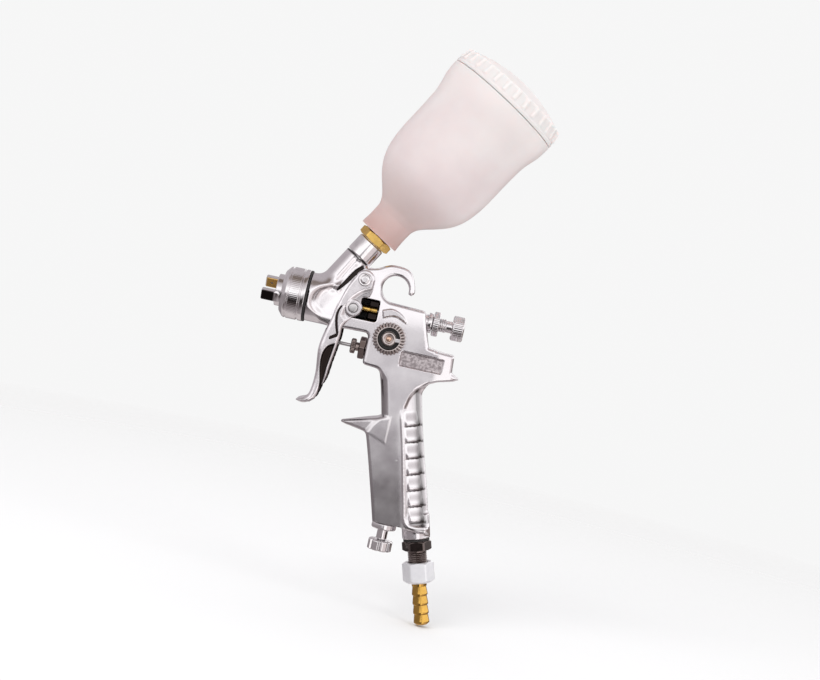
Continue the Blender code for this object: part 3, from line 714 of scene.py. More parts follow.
def body_bores(p, field):
    """The holes that other pieces sit or slide in."""
    upper = ((77.6, 0.0, -61.0), (-0.1812, 0.0, 0.9835))
    bores = [
        (SPRAY, 5.0, 16.6, 4.1), (SPRAY, 15.6, 26.5, 3.0), (SPRAY, 26.0, 36.5, 3.3),
        (SPRAY, 51.0, 63.0, 2.4), (SPRAY, 62.5, 79.0, 4.9), (SPRAY, 76.9, 82.0, 5.5),
        (CUP, -44.0, -15.0, 3.4), (CUP, -25.0, -15.0, 5.0), (HOSE, -18.5, 2.0, 3.2),
        (ADJUST, -9.0, 2.0, 4.2), (ADJUST, -43.0, -8.5, 2.8), (AIR_VALVE, 48.0, 79.0, 4.0),
        (FAN, -14.0, -4.4, 4.4), (FAN, -5.0, 5.2, 3.0), (PIVOT_AXIS, -14.0, 14.0, 1.9),
        (upper, 0.0, 41.0, 2.2),
    ]
    for axis, start, end, radius in bores:
        field = np.maximum(field, -rod(p, axis, start, end, radius))
    return field


def body_field(p):
    """Head, slab, handle, inlet tube, finger rest and hose boss, less the recesses and bores."""
    x, y, z = p
    side = np.abs(y)
    spigot = rod(p, SPRAY, 6.6, 18.0, SPIGOT_RADIUS, 0.3)
    barrel = rod(p, SPRAY, HEAD_FRONT, HEAD_BACK + 1.0, HEAD_RADIUS, 0.4)
    flat = joined(outline_field(x, z, slab_outline()), outline_field(x, z, tail_outline()), 1.2)
    flat = joined(flat, outline_field(x, z, handle_outline()), 2.4)
    half = SLAB_HALF - (SLAB_HALF - SLAB_TOP_HALF) * ramp(z, -6.0, 26.0)
    half = half - 0.08 * (z + 4.0) * (1 - ramp(x, 31.0, 36.0))
    dished = ramp(HEAD_FLAT[2] - np.hypot(x - HEAD_FLAT[0], z - HEAD_FLAT[1]), 0.0, 7.0)
    barrel = cut(barrel, HEAD_RADIUS + 0.3 - (HEAD_RADIUS + 0.3 - half) * dished - side, 2.0)
    half = half + (HANDLE_HALF - SLAB_HALF) * ramp(-z, 14.0, 70.0) - 0.7 * ramp(-z, 70.0, 108.0)
    half = half - (1.3 * ramp(x, 85.0, 97.0) + 2.4 * ramp(x, 94.0, 99.5)) * ramp(z, -40.0, -32.0)
    edge = 1.5 + 2.8 * ramp(-z, 27.0, 33.0) - 2.6 * ramp(-z, 49.0, 52.0)
    slab = thick(flat, side, half, edge)
    slab = np.maximum(slab, HANDLE_FOOT - z)
    slab = slab + grip_relief(x, z) * ramp(side, 1.0, 3.5) * (1 - ramp(z, -30.0, -26.5))
    tube = rod(p, CUP, -46.0, TUBE_END, TUBE_RADIUS, 0.5)
    rest = thick(outline_field(x, z, finger_rest_outline()), side, 3.0 + 5.2 * ramp(x, 46.0, 61.5), 1.6)
    boss = rod(p, HOSE, -12.0, 0.0, BOSS_RADIUS, 0.5)
    body = joined(barrel, slab, 1.6)
    body = joined(body, tube, 3.0)
    body = joined(joined(body, rest, 1.2), boss, 2.0)
    body = body + FLUTE_DEPTH * bump(flute_line(x, z), 0.0, 1.9) * ramp(side, 3.0, 5.0)
    crease = thick(outline_field(x, z, crease_outline()), 9.0 - side, 3.7, 0.2)
    body = cut(body, crease, 0.5)
    body = joined(body, spigot, 0.2)
    mark = thick(outline_field(x, z, fan_mark_outline()), np.abs(y + 7.5), 0.80, 0.4)
    body = joined(body, mark, 0.7)
    recess = box(p, (PLATE_RECESS[0], -12.0, PLATE_RECESS[2]), (PLATE_RECESS[1], -7.2, PLATE_RECESS[3]), 0.9)
    body = cut(body, recess, 0.4)
    body = cut(body, box(p, (WINDOW[0], -14.0, -WINDOW[2]), (WINDOW[1], 4.2, WINDOW[2]), 1.4), 0.4)
    body = cut(body, box(p, (WINDOW[0], 3.0, -5.0), (46.8, 14.0, 4.4), 0.8), 0.4)
    return body_bores(p, body)


def flute_line(x, z):
    """Distance to the middle of the soft flute down the inlet tube."""
    start, end = (36.0, 22.4), (27.6, 7.0)
    ex, ez = end[0] - start[0], end[1] - start[1]
    t = np.clip(((x - start[0]) * ex + (z - start[1]) * ez) / (ex * ex + ez * ez), 0, 1)
    return np.hypot(x - start[0] - ex * t, z - start[1] - ez * t)


def crease_outline():
    """The narrow hollow between the inlet tube and the trigger, darkened with painted shade."""
    left = curve([(39.9, 20.8), (36.4, 17.4), (33.0, 12.0), (30.4, 7.6), (29.8, 6.3)], 3)
    return left + curve([(30.6, 6.6), (34.2, 11.0), (37.4, 15.6), (40.6, 19.6)], 3)


def plate_mask(p):
    """1 on the floor of the recessed plate."""
    x, y, z = p
    inside = ramp(x, PLATE_RECESS[0] - 0.2, PLATE_RECESS[0] + 0.5)
    inside = inside * (1 - ramp(x, PLATE_RECESS[1] - 0.5, PLATE_RECESS[1] + 0.2))
    inside = inside * ramp(z, PLATE_RECESS[2] - 0.2, PLATE_RECESS[2] + 0.5)
    inside = inside * (1 - ramp(z, PLATE_RECESS[3] - 0.5, PLATE_RECESS[3] + 0.2))
    return inside * ramp(y, -7.8, -7.4) * (1 - ramp(y, -7.0, -6.8))


def body_shade_mask(p):
    """Painted shade: dark in the window, the crease, the tube's joint and between the pads, along the
    upper front of the handle, and darker down the handle.
    """
    x, y, z = p
    side = np.abs(y)
    window = (1 - ramp(side, 6.4, 7.2)) * ramp(x, 38.0, 40.0) * (1 - ramp(x, 52.4, 52.9))
    window = window * (1 - ramp(np.abs(z), 5.5, 5.9))
    crease = 1 - ramp(outline_field(x, z, crease_outline()), -0.1, 0.5)
    front = x - 58.3 - (-28.0 - z) * 0.27
    along_cup = (x - CUP[0][0]) * CUP[1][0] + (z - CUP[0][2]) * CUP[1][2]
    behind = (1 - ramp(front, 0.3, 6.0)) * ramp(z, -51.5, -49.0) * (1 - ramp(z, -31.0, -27.5))
    lower = 0.22 * ramp(-z, 40.0, 62.0) + 0.22 * ramp(-z, 70.0, 100.0)
    foot = lower * (1 - ramp(x + (z + 98.0) * 0.26, 84.0, 86.0))
    joint = ramp(along_cup, TUBE_END - 1.0, TUBE_END - 0.5)
    joint = joint * (1 - ramp(np.abs(along_cup - TUBE_END), 1.2, 1.6)) * (1 - ramp(x, 41.0, 42.0))
    shade = np.maximum(np.maximum(window, joint), crease)
    shade = np.maximum(shade, np.maximum(0.45 * behind, foot))
    return np.maximum(shade, grip_shade(x, z))


def build_body(finish):
    """The casting, on a 0.5 mm grid."""
    step = 0.5
    body = where_zero(
        "gun_casting", body_field, (5.0, -12.8, -112.0), (101.5, 12.8, 29.0), step, finish,
        {"plate": plate_mask, "shade": body_shade_mask},
    )
    attach(body, "gun", "cast_body", "gun_body")


# ---------------------------------------------------------------- trigger


def trigger_outline():
    """Arm to the pivot, ear on the needle's axis and the curved blade."""
    pivot_arm = arc(PIVOT, 4.9, 172, -10, 12)
    right = [(47.2, 8.6), (46.6, 6.2), (45.6, 5.4), (43.4, 4.8)]
    ear = arc(BARREL, 5.0, 42, -72, 9)
    rear = curve([(38.2, -8.2), (36.9, -11.0), (36.8, -15.0), (36.4, -19.5), (35.6, -25.5), (34.8, -31.0),
                  (34.4, -35.5), (33.7, -39.2), (32.7, -42.0), (32.0, -45.4), (30.6, -49.0)], 4)
    tip = curve([(28.4, -51.0), (24.8, -51.9), (22.0, -51.5), (21.3, -50.9), (22.2, -50.3)], 3)
    front = curve([(25.0, -49.2), (27.0, -46.6), (27.9, -41.0), (28.0, -35.0), (27.4, -29.5), (26.9, -24.0),
                   (27.4, -19.0), (28.6, -13.0), (30.0, -7.6), (31.0, -3.4), (32.4, 1.8), (33.6, 6.0),
                   (35.2, 10.2), (36.9, 13.6)], 3)
    return pivot_arm + right + ear + rear + tip + front


def trigger_slots():
    """The crescent beside the ear, and the short slit at its lower end."""
    crescent = curve([(34.3, -0.8), (33.3, -3.4), (33.1, -6.8), (33.8, -10.6), (35.1, -14.8)], 4)
    crescent += curve([(34.3, -15.0), (32.9, -10.8), (32.2, -7.0), (32.4, -3.8), (33.6, -0.8)], 4)
    slit = [(31.4, -18.3), (34.8, -16.2), (35.1, -15.1), (34.2, -14.9), (31.2, -17.0)]
    return crescent, slit


def trigger_low_outline():
    """The part of the arm around the ear that is pressed in."""
    ridge = curve([(47.8, 11.6), (44.8, 10.3), (42.0, 8.8), (39.4, 6.4), (37.2, 3.6), (35.8, 0.8),
                   (34.9, -1.6), (34.4, -5.6)], 3)
    return ridge + [(37.0, -8.0), (48.0, -8.0)]


def blade_scoop_outline():
    """The long scoop in each flank of the blade."""
    left = curve([(34.4, -19.6), (31.4, -21.4), (29.7, -24.4), (29.1, -28.4), (29.5, -33.4), (30.6, -38.6),
                  (31.3, -43.0), (30.9, -47.4)], 3)
    right = curve([(31.7, -45.6), (32.4, -41.8), (33.0, -37.6), (33.3, -32.6), (34.0, -27.0),
                   (34.8, -20.4)], 3)
    return left + right


def trigger_field(p):
    """A bent sheet: the outer shape less the channel inside it, its slots and its holes."""
    x, y, z = p
    side = np.abs(y)
    flat = outline_field(x, z, trigger_outline())
    low = 0.8 * ramp(-outline_field(x, z, trigger_low_outline()), -0.4, 2.2)
    ear = 1 - ramp(np.hypot(x - BARREL[0], z - BARREL[1]), 3.6, 4.6)
    scoop = 1.1 * ramp(-outline_field(x, z, blade_scoop_outline()), -0.3, 1.2)
    outer = thick(flat, side, FLANGE_OUT - low * (1 - 0.7 * ear), 1.2 + 0.9 * ramp(z, 2.0, -12.0))
    outer = outer + scoop * ramp(side, 7.0, 8.4)
    hollow = thick(outline_field(x, z, trigger_hollow_outline()), side, FLANGE_OUT - SHEET - scoop, 0.9)
    body = cut(outer, hollow, 0.3)
    for slot in trigger_slots():
        body = cut(body, thick(outline_field(x, z, slot), np.abs(side - FLANGE_OUT), 0.8, 0.1), 0.3)
    body = np.maximum(body, -rod(p, PIVOT_AXIS, -14.0, 14.0, 1.9))
    return np.maximum(body, -rod(p, BARREL_AXIS, -14.0, 14.0, 2.5))


def trigger_hollow_outline():
    """The inside of the channel, open at the back and above the blade."""
    inside = curve([(30.2, -13.3), (28.8, -19.4), (28.3, -24.0), (28.8, -29.0), (29.4, -35.0),
                    (29.2, -41.0), (28.4, -46.2), (26.2, -50.6)], 4)
    return [(22.6, -13.3)] + inside + [(26.2, -56.0), (60.0, -56.0), (60.0, 25.0), (22.6, 25.0)]


def trigger_shade_mask(p):
    """Painted shade: 1 inside the channel, in the scoops and in the slots, and 0.4 on the pressed part of the
    arm.
    """
    x, y, z = p
    side = np.abs(y)
    hidden = (1 - ramp(outline_field(x, z, trigger_hollow_outline()), -0.1, 0.3)) * (1 - ramp(side, 8.7, 9.2))
    hidden = hidden * (1 - ramp(z, -12.0, -8.0))
    pressed = 0.4 * ramp(-outline_field(x, z, trigger_low_outline()), 0.0, 1.5) * ramp(z, -6.0, -2.0)
    pressed = pressed * ramp(np.hypot(x - BARREL[0], z - BARREL[1]), 3.6, 4.6)
    shade = np.maximum(hidden, 1 - ramp(outline_field(x, z, blade_scoop_outline()), -0.5, 0.3))
    shade = np.maximum(shade, pressed)
    for slot in trigger_slots():
        shade = np.maximum(shade, 1 - ramp(outline_field(x, z, slot), -0.1, 0.35))
    return shade


def build_trigger(finish, shade_plate_finish):
    """The lever, and a thin black plate across the far side of the window, put there as painted shade."""
    step = 0.4
    trigger = where_zero(
        "trigger_lever", trigger_field, (19.5, -11.2, -53.5), (49.0, 11.2, 20.5), step, finish,
        {"shade": trigger_shade_mask},
    )
    attach(trigger, "trigger", "chrome_plate", "trigger")
    # Painted shade: a black plate behind the window darkens it
    shade_plate = where_zero(
        "window_shade_plate", lambda p: box(p, (41.0, 8.1, -5.6), (48.4, 8.5, 5.6), 0.15),
        (40.0, 7.0, -6.5), (49.4, 9.6, 6.5), 0.2, shade_plate_finish,
    )
    attach(shade_plate, "trigger", "black_seal")


# ---------------------------------------------------------------- spray head


def horn_place(p, turn):
    """Coordinates with +Y through the middle of a horn."""
    x, y, z = p
    return x, y * cos(turn) + z * sin(turn), z * cos(turn) - y * sin(turn)


def air_cap_field(p):
    """A dished cap with two horns, a centre hole, four small holes and a port in each horn."""
    cap = rod(p, SPRAY, 0.0, 5.0, 8.0, 0.5)
    cap = np.minimum(cap, rod(p, SPRAY, 4.6, 6.0, 9.9, 0.2))
    for turn in CAP_HORN_TURNS:
        x, y, z = horn_place(p, turn)
        low = (CAP_HORN_TIP, CAP_HORN_INNER, -CAP_HORN_HALF)
        horn = box((x, y, z), low, (2.0, CAP_HORN_OUTER, CAP_HORN_HALF), 0.7)
        slope = (y - CAP_HORN_INNER) * 0.8 + (x - CAP_HORN_TIP) * 0.6 - 0.5
        horn = np.maximum(horn, -slope)
        cap = joined(cap, horn, 0.6)
        port = ((-2.6, 0.0, 0.0), (-0.5, -0.866, 0.0))
        cap = np.maximum(cap, -rod((x, y - 6.4, z), port, 0.0, 6.0, 0.55))
    cap = np.maximum(cap, -rod(p, SPRAY, -1.0, 7.0, 1.25))
    cap = np.maximum(cap, -rod(p, SPRAY, 3.0, 7.0, 5.6))
    for k in range(4):
        angle = radians(75.0 + 90.0 * k)
        hole = ((0.0, 4.0 * cos(angle), 4.0 * sin(angle)), (1.0, 0.0, 0.0))
        cap = np.maximum(cap, -rod(p, hole, -1.0, 7.0, 0.45))
    return cap


def bare_mask(p):
    """1 on the faces of the horns that look at the spray axis."""
    mask = 0.0
    for turn in CAP_HORN_TURNS:
        x, y, z = horn_place(p, turn)
        mask = np.maximum(mask, (1 - ramp(y, 4.75, 5.1)) * ramp(y, 2.0, 4.0) * (1 - ramp(x, -0.6, 0.2)))
    return mask


def horn_shade_mask(p):
    """Painted dark reflection: 1 on the outer faces of the horns."""
    mask = 0.0
    for turn in CAP_HORN_TURNS:
        x, y, z = horn_place(p, turn)
        mask = np.maximum(mask, ramp(y, 7.3, 7.7) * (1 - ramp(x, -0.7, -0.2)))
    return mask


def build_air_cap(finish):
    """The air cap, on a fine grid for its small holes."""
    step = 0.22
    cap = where_zero(
        "air_cap_with_horns", air_cap_field, (-7.6, -10.6, -10.6), (6.8, 10.6, 10.6), step, finish,
        {"bare": bare_mask, "shade": horn_shade_mask},
    )
    attach(cap, "air_cap", "chrome_plate", "air_cap")


def build_head(metals):
    """Clamp ring, gasket and fluid tip."""
    ring = [(3.0, 8.4, 0.1), (3.0, 10.1, 0.3), (5.2, 12.7, 0.5), (6.3, 12.9, 0.1), (6.5, 12.5, 0.1),
            (6.9, 12.5, 0.1), (7.1, 13.0, 0.2), (12.1, 13.0, 0.2), (12.3, 12.3, 0.1), (12.8, 12.3, 0.1),
            (13.0, 13.0, 0.3), (15.2, 13.0, 0.3), (15.2, 10.3, 0.1), (4.3, 10.3, 0.1), (4.3, 8.4, 0.1)]
    turned("clamp_ring", ring, SPRAY, metals["chrome"], "gun", "chrome_plate", "retaining_ring",
           form=knurled(7.2, 12.0, 90, 0.035, 12.0), sides=540, fine=(7.0, 12.2, 0.4))
    gasket = [(15.3, 12.9, 0.2), (16.3, 12.9, 0.2), (16.3, 10.2, 0.1), (15.3, 10.2, 0.1)]
    turned("gasket_ring", gasket, SPRAY, metals["rubber"], "gun", "black_seal", "head_gasket")
    tip = [(-0.2, 0.65, 0.05), (-0.2, 0.95, 0.1), (1.4, 1.0), (4.6, 2.6), (5.0, 5.2, 0.1), (6.2, 5.2, 0.1),
           (6.3, 3.8, 0.1), (15.6, 3.8, 0.2), (15.6, 2.0, 0.1), (6.5, 2.0), (4.0, 1.4), (1.0, 0.9)]
    turned("fluid_tip", tip, SPRAY, metals["steel"], "gun", "steel", "fluid_nozzle", sides=64, edge=0.3)


# ---------------------------------------------------------------- needle, barrel and rear knob


def build_needle(metals):
    """Needle and its collar, guide bush, lock nut and rear knob."""
    needle = [(0.2, 0.0), (0.2, 0.25, 0.1), (3.6, 1.0, 1.0), (60.0, 1.0, 0.1), (60.0, 2.1, 0.2),
              (61.4, 2.1, 0.2), (61.4, 1.0, 0.1), (86.2, 1.0, 0.2), (86.2, 0.0)]
    turned("needle_rod", needle, SPRAY, metals["steel"], "needle", "steel", "fluid_needle", sides=32)
    collar = [(42.75, 1.9, 0.3), (47.6, 1.9, 0.1), (47.8, 1.65, 0.1), (48.1, 1.65, 0.1), (48.3, 1.9, 0.1),
              (51.5, 1.9, 0.3), (51.5, 1.2, 0.1), (42.75, 1.2, 0.1)]
    turned("collar_sleeve", collar, SPRAY, metals["brass"], "needle", "brass", "needle_collar", sides=48)
    guide = [(64.4, 4.6), (75.5, 4.6), (75.7, 3.95), (77.3, 3.95), (77.3, 5.0, 0.3), (79.5, 5.0, 0.4),
             (79.5, 3.7, 0.1), (70.0, 3.7), (70.0, 2.6), (64.4, 2.6)]
    turned("guide_bush", guide, SPRAY, metals["chrome"], "gun", "chrome_plate", "fluid_guide")
    nut = [(79.8, 5.7, 0.1), (80.2, 6.2, 0.2), (82.6, 6.2, 0.2), (83.0, 5.7, 0.1), (83.0, 3.7, 0.1),
           (79.8, 3.7, 0.1)]
    turned("knurled_lock_nut", nut, SPRAY, metals["chrome"], "gun", "chrome_plate", "guide_lock_nut",
           form=knurled(80.0, 82.8, 36, 0.12), sides=288, fine=(80.0, 82.8, 0.3), grime=0.3)
    knob = [(71.2, 3.4, 0.3), (86.2, 3.4, 0.2), (86.6, 3.0, 0.2), (89.5, 3.0, 0.2), (89.5, 5.5, 0.1),
            (90.1, 6.3, 0.2), (95.1, 6.3, 0.2), (95.7, 5.6, 0.3), (95.7, 3.0, 0.2), (95.4, 2.6, 0.2),
            (95.4, 0.0), (92.0, 0.0), (92.0, 2.6), (71.2, 2.6)]
    form = in_turn(threaded(71.5, 86.2, 1.0, 0.3, 3.1), knurled(90.0, 95.3, 36, 0.12, 5.0))
    turned("rear_knob", knob, SPRAY, metals["chrome"], "fluid_knob", "chrome_plate", "fluid_knob",
           form=form, sides=288, fine=(71.2, 95.4, 0.2), grime=0.28)


def build_pins(metals):
    """The barrel that pulls the needle, and the pivot bolt with its nut."""
    barrel = [(-10.9, 0.0), (-10.9, 2.2, 0.5), (-8.2, 2.2, 0.1), (-8.2, 2.8, 0.3), (8.2, 2.8, 0.3),
              (8.2, 2.2, 0.1), (10.9, 2.2, 0.5), (10.9, 0.0)]
    turned("cross_barrel", barrel, BARREL_AXIS, metals["steel"], "trigger_barrel", "steel",
           "trigger_barrel", sides=64)
    corner = PIVOT_NUT / sqrt(3) + 0.2
    nut = [(10.2, corner), (12.6, corner), (12.6, 1.65, 0.1), (10.2, 1.65, 0.1)]
    turned("pivot_lock_nut", chamfered(nut, 0.35), PIVOT_AXIS, metals["chrome"], "gun", "chrome_plate",
           "pivot_nut", form=hexagonal(10.2, 12.6, PIVOT_NUT), sides=96)
    low, high = (PIVOT[0] - 4, -13.0, PIVOT[1] - 4), (PIVOT[0] + 4, 12.6, PIVOT[1] + 4)
    step = 0.2
    screw = where_zero("pivot_bolt", pivot_screw_field, low, high, step, metals["chrome_plain"])
    attach(screw, "gun", "chrome_plate", "pivot_screw")


def pivot_screw_field(p):
    """A round head with a shallow ring in it, on a plain shank."""
    x, y, z = p
    reach = np.hypot(x - PIVOT[0], z - PIVOT[1])
    head = rod(p, PIVOT_AXIS, -12.3, -10.2, 3.3, 0.9)
    head = head + 0.35 * bump(reach, 2.3, 0.5) * (1 - ramp(y, -11.6, -11.0))
    return joined(head, rod(p, PIVOT_AXIS, -11.0, 12.2, 1.6, 0.2), 0.2)


def chamfered(profile, size):
    """Puts a slope on the two outer corners that begin a nut's profile."""
    (s0, r0), (s1, r1) = profile[0][:2], profile[1][:2]
    drop = 2.2 * size
    slopes = [(s0, r0 - drop, 0.02), (s0 + size, r0, 0.02), (s1 - size, r1, 0.02), (s1, r1 - drop, 0.02)]
    return slopes + list(profile[2:])


# ---------------------------------------------------------------- air valve and pattern valve


def build_air_valve(metals):
    """Gland, packing screw and stem of the valve under the needle."""
    corner = VALVE_GLAND / sqrt(3) + 0.1
    gland = chamfered([(46.3, corner), (49.5, corner)], 0.6)
    gland += [(49.5, 3.7, 0.1), (61.0, 3.7, 0.2), (61.0, 1.4), (51.0, 1.4), (51.0, 2.5), (46.3, 2.5, 0.1)]
    turned("valve_hexagon", gland, AIR_VALVE, metals["chrome_in_shade"], "gun", "chrome_plate", "air_valve_gland",
           form=hexagonal(46.3, 49.5, VALVE_GLAND, pi / 6), sides=120, fine=(46.3, 49.5, 0.25))
    screw = [(42.0, 3.3, 0.1), (42.4, 3.8, 0.2), (44.2, 3.8, 0.2), (44.5, 3.4, 0.1), (44.5, 2.2, 0.2),
             (48.0, 2.2, 0.1), (48.0, 1.2, 0.1), (42.0, 1.2, 0.1)]
    turned("valve_packing_knob", screw, AIR_VALVE, metals["chrome_in_shade"], "gun", "chrome_plate",
           "valve_packing_screw", form=knurled(42.2, 44.4, 24, 0.3), sides=144, fine=(42.2, 44.4, 0.3))
    stem = [(29.6, 0.0), (29.6, 0.7, 0.2), (29.9, 0.9, 0.2), (64.5, 0.9, 0.1), (64.5, 0.0)]
    turned("valve_rod", stem, AIR_VALVE, metals["steel"], "air_valve", "steel", "air_valve_stem",
           sides=32)


def build_fan_valve(metals):
    """Bush, wheel, a black ring in the groove as painted shade, pointer and disc of the fan knob."""
    bush = [(-9.2, 5.0, 0.2), (-8.3, 5.0, 0.1), (-8.3, 4.1, 0.1), (-4.8, 4.1, 0.1), (-4.8, 1.8, 0.1),
            (-9.2, 1.8, 0.1)]
    turned("fan_collar", bush, FAN, metals["brass"], "gun", "brass", "fan_bush")
    ring = [(-14.4, 5.5, 0.2), (-14.4, 6.1, 0.2), (-13.0, 8.3, 0.4), (-10.2, 8.3, 0.2), (-9.6, 7.7, 0.2),
            (-9.6, 1.8, 0.1), (-12.6, 1.8, 0.1), (-12.6, 3.7, 0.1), (-11.2, 3.7, 0.1), (-11.2, 5.4, 0.1)]
    turned("fan_wheel", ring, FAN, metals["chrome_in_half_shade"], "fan_knob", "chrome_plate", "fan_knob",
           form=knurled(-14.6, -9.8, 28, 0.9, 6.0), sides=336, fine=(-14.4, -9.8, 0.3), grime=0.9)
    # Painted shade: a black ring fills the wheel's groove
    groove = [(-12.2, 3.75, 0.1), (-12.2, 5.35, 0.1), (-11.3, 5.35, 0.1), (-11.3, 3.75, 0.1)]
    turned("fan_groove_shade_ring", groove, FAN, metals["rubber"], "fan_knob", "black_seal")
    x, z = FAN_CENTRE
    pointer = where_zero(
        "fan_pointer", lambda p: box(p, (x + 3.0, -14.2, z - 1.1), (x + 6.2, -12.2, z + 1.1), 0.4),
        (x + 2.6, -14.8, z - 1.6), (x + 6.8, -11.6, z + 1.6), 0.15, metals["chrome_plain"],
    )
    attach(pointer, "fan_knob", "chrome_plate")
    disc = [(-13.9, 1.9, 0.3), (-14.3, 2.6, 0.3), (-14.2, 3.2, 0.4), (-13.6, 3.6, 0.2), (-12.8, 3.6, 0.1),
            (-12.8, 1.2, 0.1), (-13.2, 1.2, 0.1), (-13.2, 1.9, 0.1)]
    turned("fan_disc", disc, FAN, metals["chrome_in_half_shade"], "fan_knob", "chrome_plate", "fan_screw",
           sides=64)
    centre = [(-14.3, 0.0), (-14.2, 0.9, 0.4), (-13.7, 1.5, 0.4), (-12.9, 1.5, 0.1), (-12.9, 0.0)]
    turned("fan_disc_centre", centre, FAN, metals["copper"], "fan_knob", "brass", sides=48)


# ---------------------------------------------------------------- handle foot


def build_foot(metals):
    """The air adjuster in the foot of the handle."""
    guide = [(-7.5, 3.9), (0.3, 3.9), (0.3, 5.8, 0.1), (0.8, 6.2, 0.2), (3.0, 6.2, 0.2), (3.5, 5.7, 0.1),
             (3.5, 3.0, 0.1), (-7.5, 3.0)]
    turned("adjust_bush", guide, ADJUST, metals["chrome"], "gun", "chrome_plate", "air_adjust_guide",
           sides=120)
    stem = [(-17.6, 0.0), (-17.6, 0.8), (-14.8, 1.9), (-8.2, 1.9), (-8.2, 2.7), (-5.9, 2.7), (-5.9, 2.0),
            (-4.7, 2.0), (-4.7, 2.7), (8.7, 2.7, 0.3), (8.7, 2.0), (12.5, 2.0), (12.5, 0.0)]
    turned("adjust_stem", stem, ADJUST, metals["chrome"], "adjust_knob", "chrome_plate",
           "air_adjust_stem", form=threaded(-4.5, 7.6, 0.9, 0.3, 2.4), sides=96, fine=(-4.5, 7.6, 0.18))
    knob = [(9.0, 5.5, 0.2), (9.5, 6.2, 0.3), (14.0, 6.2, 0.3), (14.5, 5.4, 0.3), (14.5, 0.0), (12.9, 0.0),
            (12.9, 2.3), (9.0, 2.3)]
    turned("adjust_wheel", knob, ADJUST, metals["chrome"], "adjust_knob", "chrome_plate",
           "air_adjust_knob", form=scalloped(8, 1.1), sides=192, fine=(8.8, 14.7, 0.4),
           grime=2.2)


def scalloped(count, depth):
    """Round scoops around a knob's edge, along the whole piece."""

    def form(s, angle, radius):
        wave = np.cos(angle * count)
        return radius - depth * ramp(wave, 0.1, 1.0) * ramp(radius, 3.0, 5.5)

    return form


def build_hose(metals):
    """Washer, nipple, nut and barbed tail, down the hose axis."""
    washer = [(0.3, 6.6, 0.2), (1.1, 6.6, 0.2), (1.1, 5.2, 0.1), (0.3, 5.2, 0.1)]
    turned("inlet_washer", washer, HOSE, metals["rubber"], "gun", "black_seal", "nipple_washer")
    corner = NIPPLE / sqrt(3) + 0.1
    nipple = [(-7.0, 2.9, 0.2), (1.4, 2.9, 0.1), (1.4, corner - 1.0, 0.02), (2.0, corner, 0.02),
              (5.4, corner, 0.02), (6.0, corner - 1.2, 0.02), (6.0, 4.85, 0.2), (17.5, 4.85, 0.3),
              (17.5, 2.0, 0.1), (-7.0, 2.0, 0.1)]
    form = in_turn(hexagonal(1.4, 6.0, NIPPLE), threaded(6.2, 17.4, 0.95, 0.4, 4.0))
    turned("inlet_nipple", nipple, HOSE, metals["chrome_in_deep_shade"], "gun", "chrome_plate", "air_nipple", form=form,
           sides=144, fine=(1.2, 17.4, 0.19), grime=0.5)
    corner = HOSE_NUT / sqrt(3) + 0.1
    nut = [(12.0, corner - 1.5, 0.02), (12.8, corner, 0.02), (20.9, corner, 0.02), (22.4, corner - 2.2, 0.02),
           (22.4, 4.1, 0.1), (20.6, 4.1, 0.1), (20.6, 5.2, 0.1), (12.0, 5.2, 0.1)]
    turned("union_nut", nut, HOSE, metals["nickel"], "gun", "chrome_plate", "hose_nut",
           form=hexagonal(12.0, 22.4, HOSE_NUT), sides=144, fine=(12.0, 22.4, 0.3))
    tail = [(18.0, 4.6, 0.2), (20.2, 4.6, 0.2), (20.2, 3.75, 0.1), (24.2, 3.75, 0.3)]
    for barb in range(4):
        start = 24.2 + 4.7 * barb
        tail += [(start, 3.45, 0.3), (start + 3.6, 3.95, 0.15), (start + 4.4, 3.95, 0.15)]
    tail += [(43.7, 2.7, 0.15), (43.7, 1.8, 0.1), (18.0, 1.8, 0.1)]
    turned("barbed_tail", tail, HOSE, metals["amber"], "gun", "brass", "hose_tail", sides=72)


# ---------------------------------------------------------------- cup


def cup_profile():
    """The cup's wall, rim, lining and the seat for its stem."""
    outside = [(-1.5, 11.1), (3.0, 10.75), (6.0, 10.7), (9.0, 10.75), (11.0, 11.0), (13.7, 12.2),
               (16.5, 14.5), (20.0, 18.0), (24.0, 21.7), (28.5, 24.7), (34.0, 26.9), (40.0, 28.1),
               (46.0, 28.6), (53.0, 28.7), (60.0, 28.7), (70.0, 29.0), (75.0, 29.8), (80.0, 31.0),
               (84.0, 31.5), (87.6, 31.6)]
    inside = [(94.5, 26.8), (70.0, 26.8), (48.0, 26.6), (38.0, 25.8), (28.5, 22.8), (20.0, 16.0),
              (12.4, 8.6)]
    wall = [(s, r, 0.0) for s, r in curve(outside, 4)]
    lining = [(s, r, 0.0) for s, r in curve(inside, 4)]
    rim = [(88.1, 31.2, 0.2), (88.1, 28.4, 0.2), (94.5, 28.3, 0.2)]
    seat = [(12.4, 5.4, 0.1), (9.6, 5.4, 0.1), (9.6, 6.6, 0.1), (-1.5, 6.6, 0.3)]
    return wall + rim + lining + seat


def lid_profile():
    """A skirt over the rim under a low dome."""
    skirt, dome, wall = 96.5, 6.2, 1.5
    radii = [29.0, 27.0, 24.0, 20.0, 16.0, 12.0, 8.0, 4.0, 1.2]
    top = [(skirt + dome * (1 - (r / 29.8) ** 2), r, 0.0) for r in radii]
    under = [(s - wall, r, 0.0) for s, r, _ in reversed(top) if r < 28.0]
    outside = [(88.3, 31.5, 0.3), (89.6, 31.7, 0.3), (90.4, 31.3, 0.3), (skirt, 29.9, 0.8)]
    return outside + top + under + [(95.2, 28.8, 0.1), (88.3, 28.9, 0.1)]


def lid_ribs(s, angle, radius):
    """Narrow grip ribs around the lid's skirt."""
    count, rise = 30, 0.75
    phase = (angle * count / tau) % 1.0
    rib = ramp(phase, 0.28, 0.42) * (1 - ramp(phase, 0.58, 0.72))
    fade = ramp(s, 90.4, 91.4) * (1 - ramp(s, 96.2, 97.6))
    return radius + rise * rib * fade * (radius > 29.2)


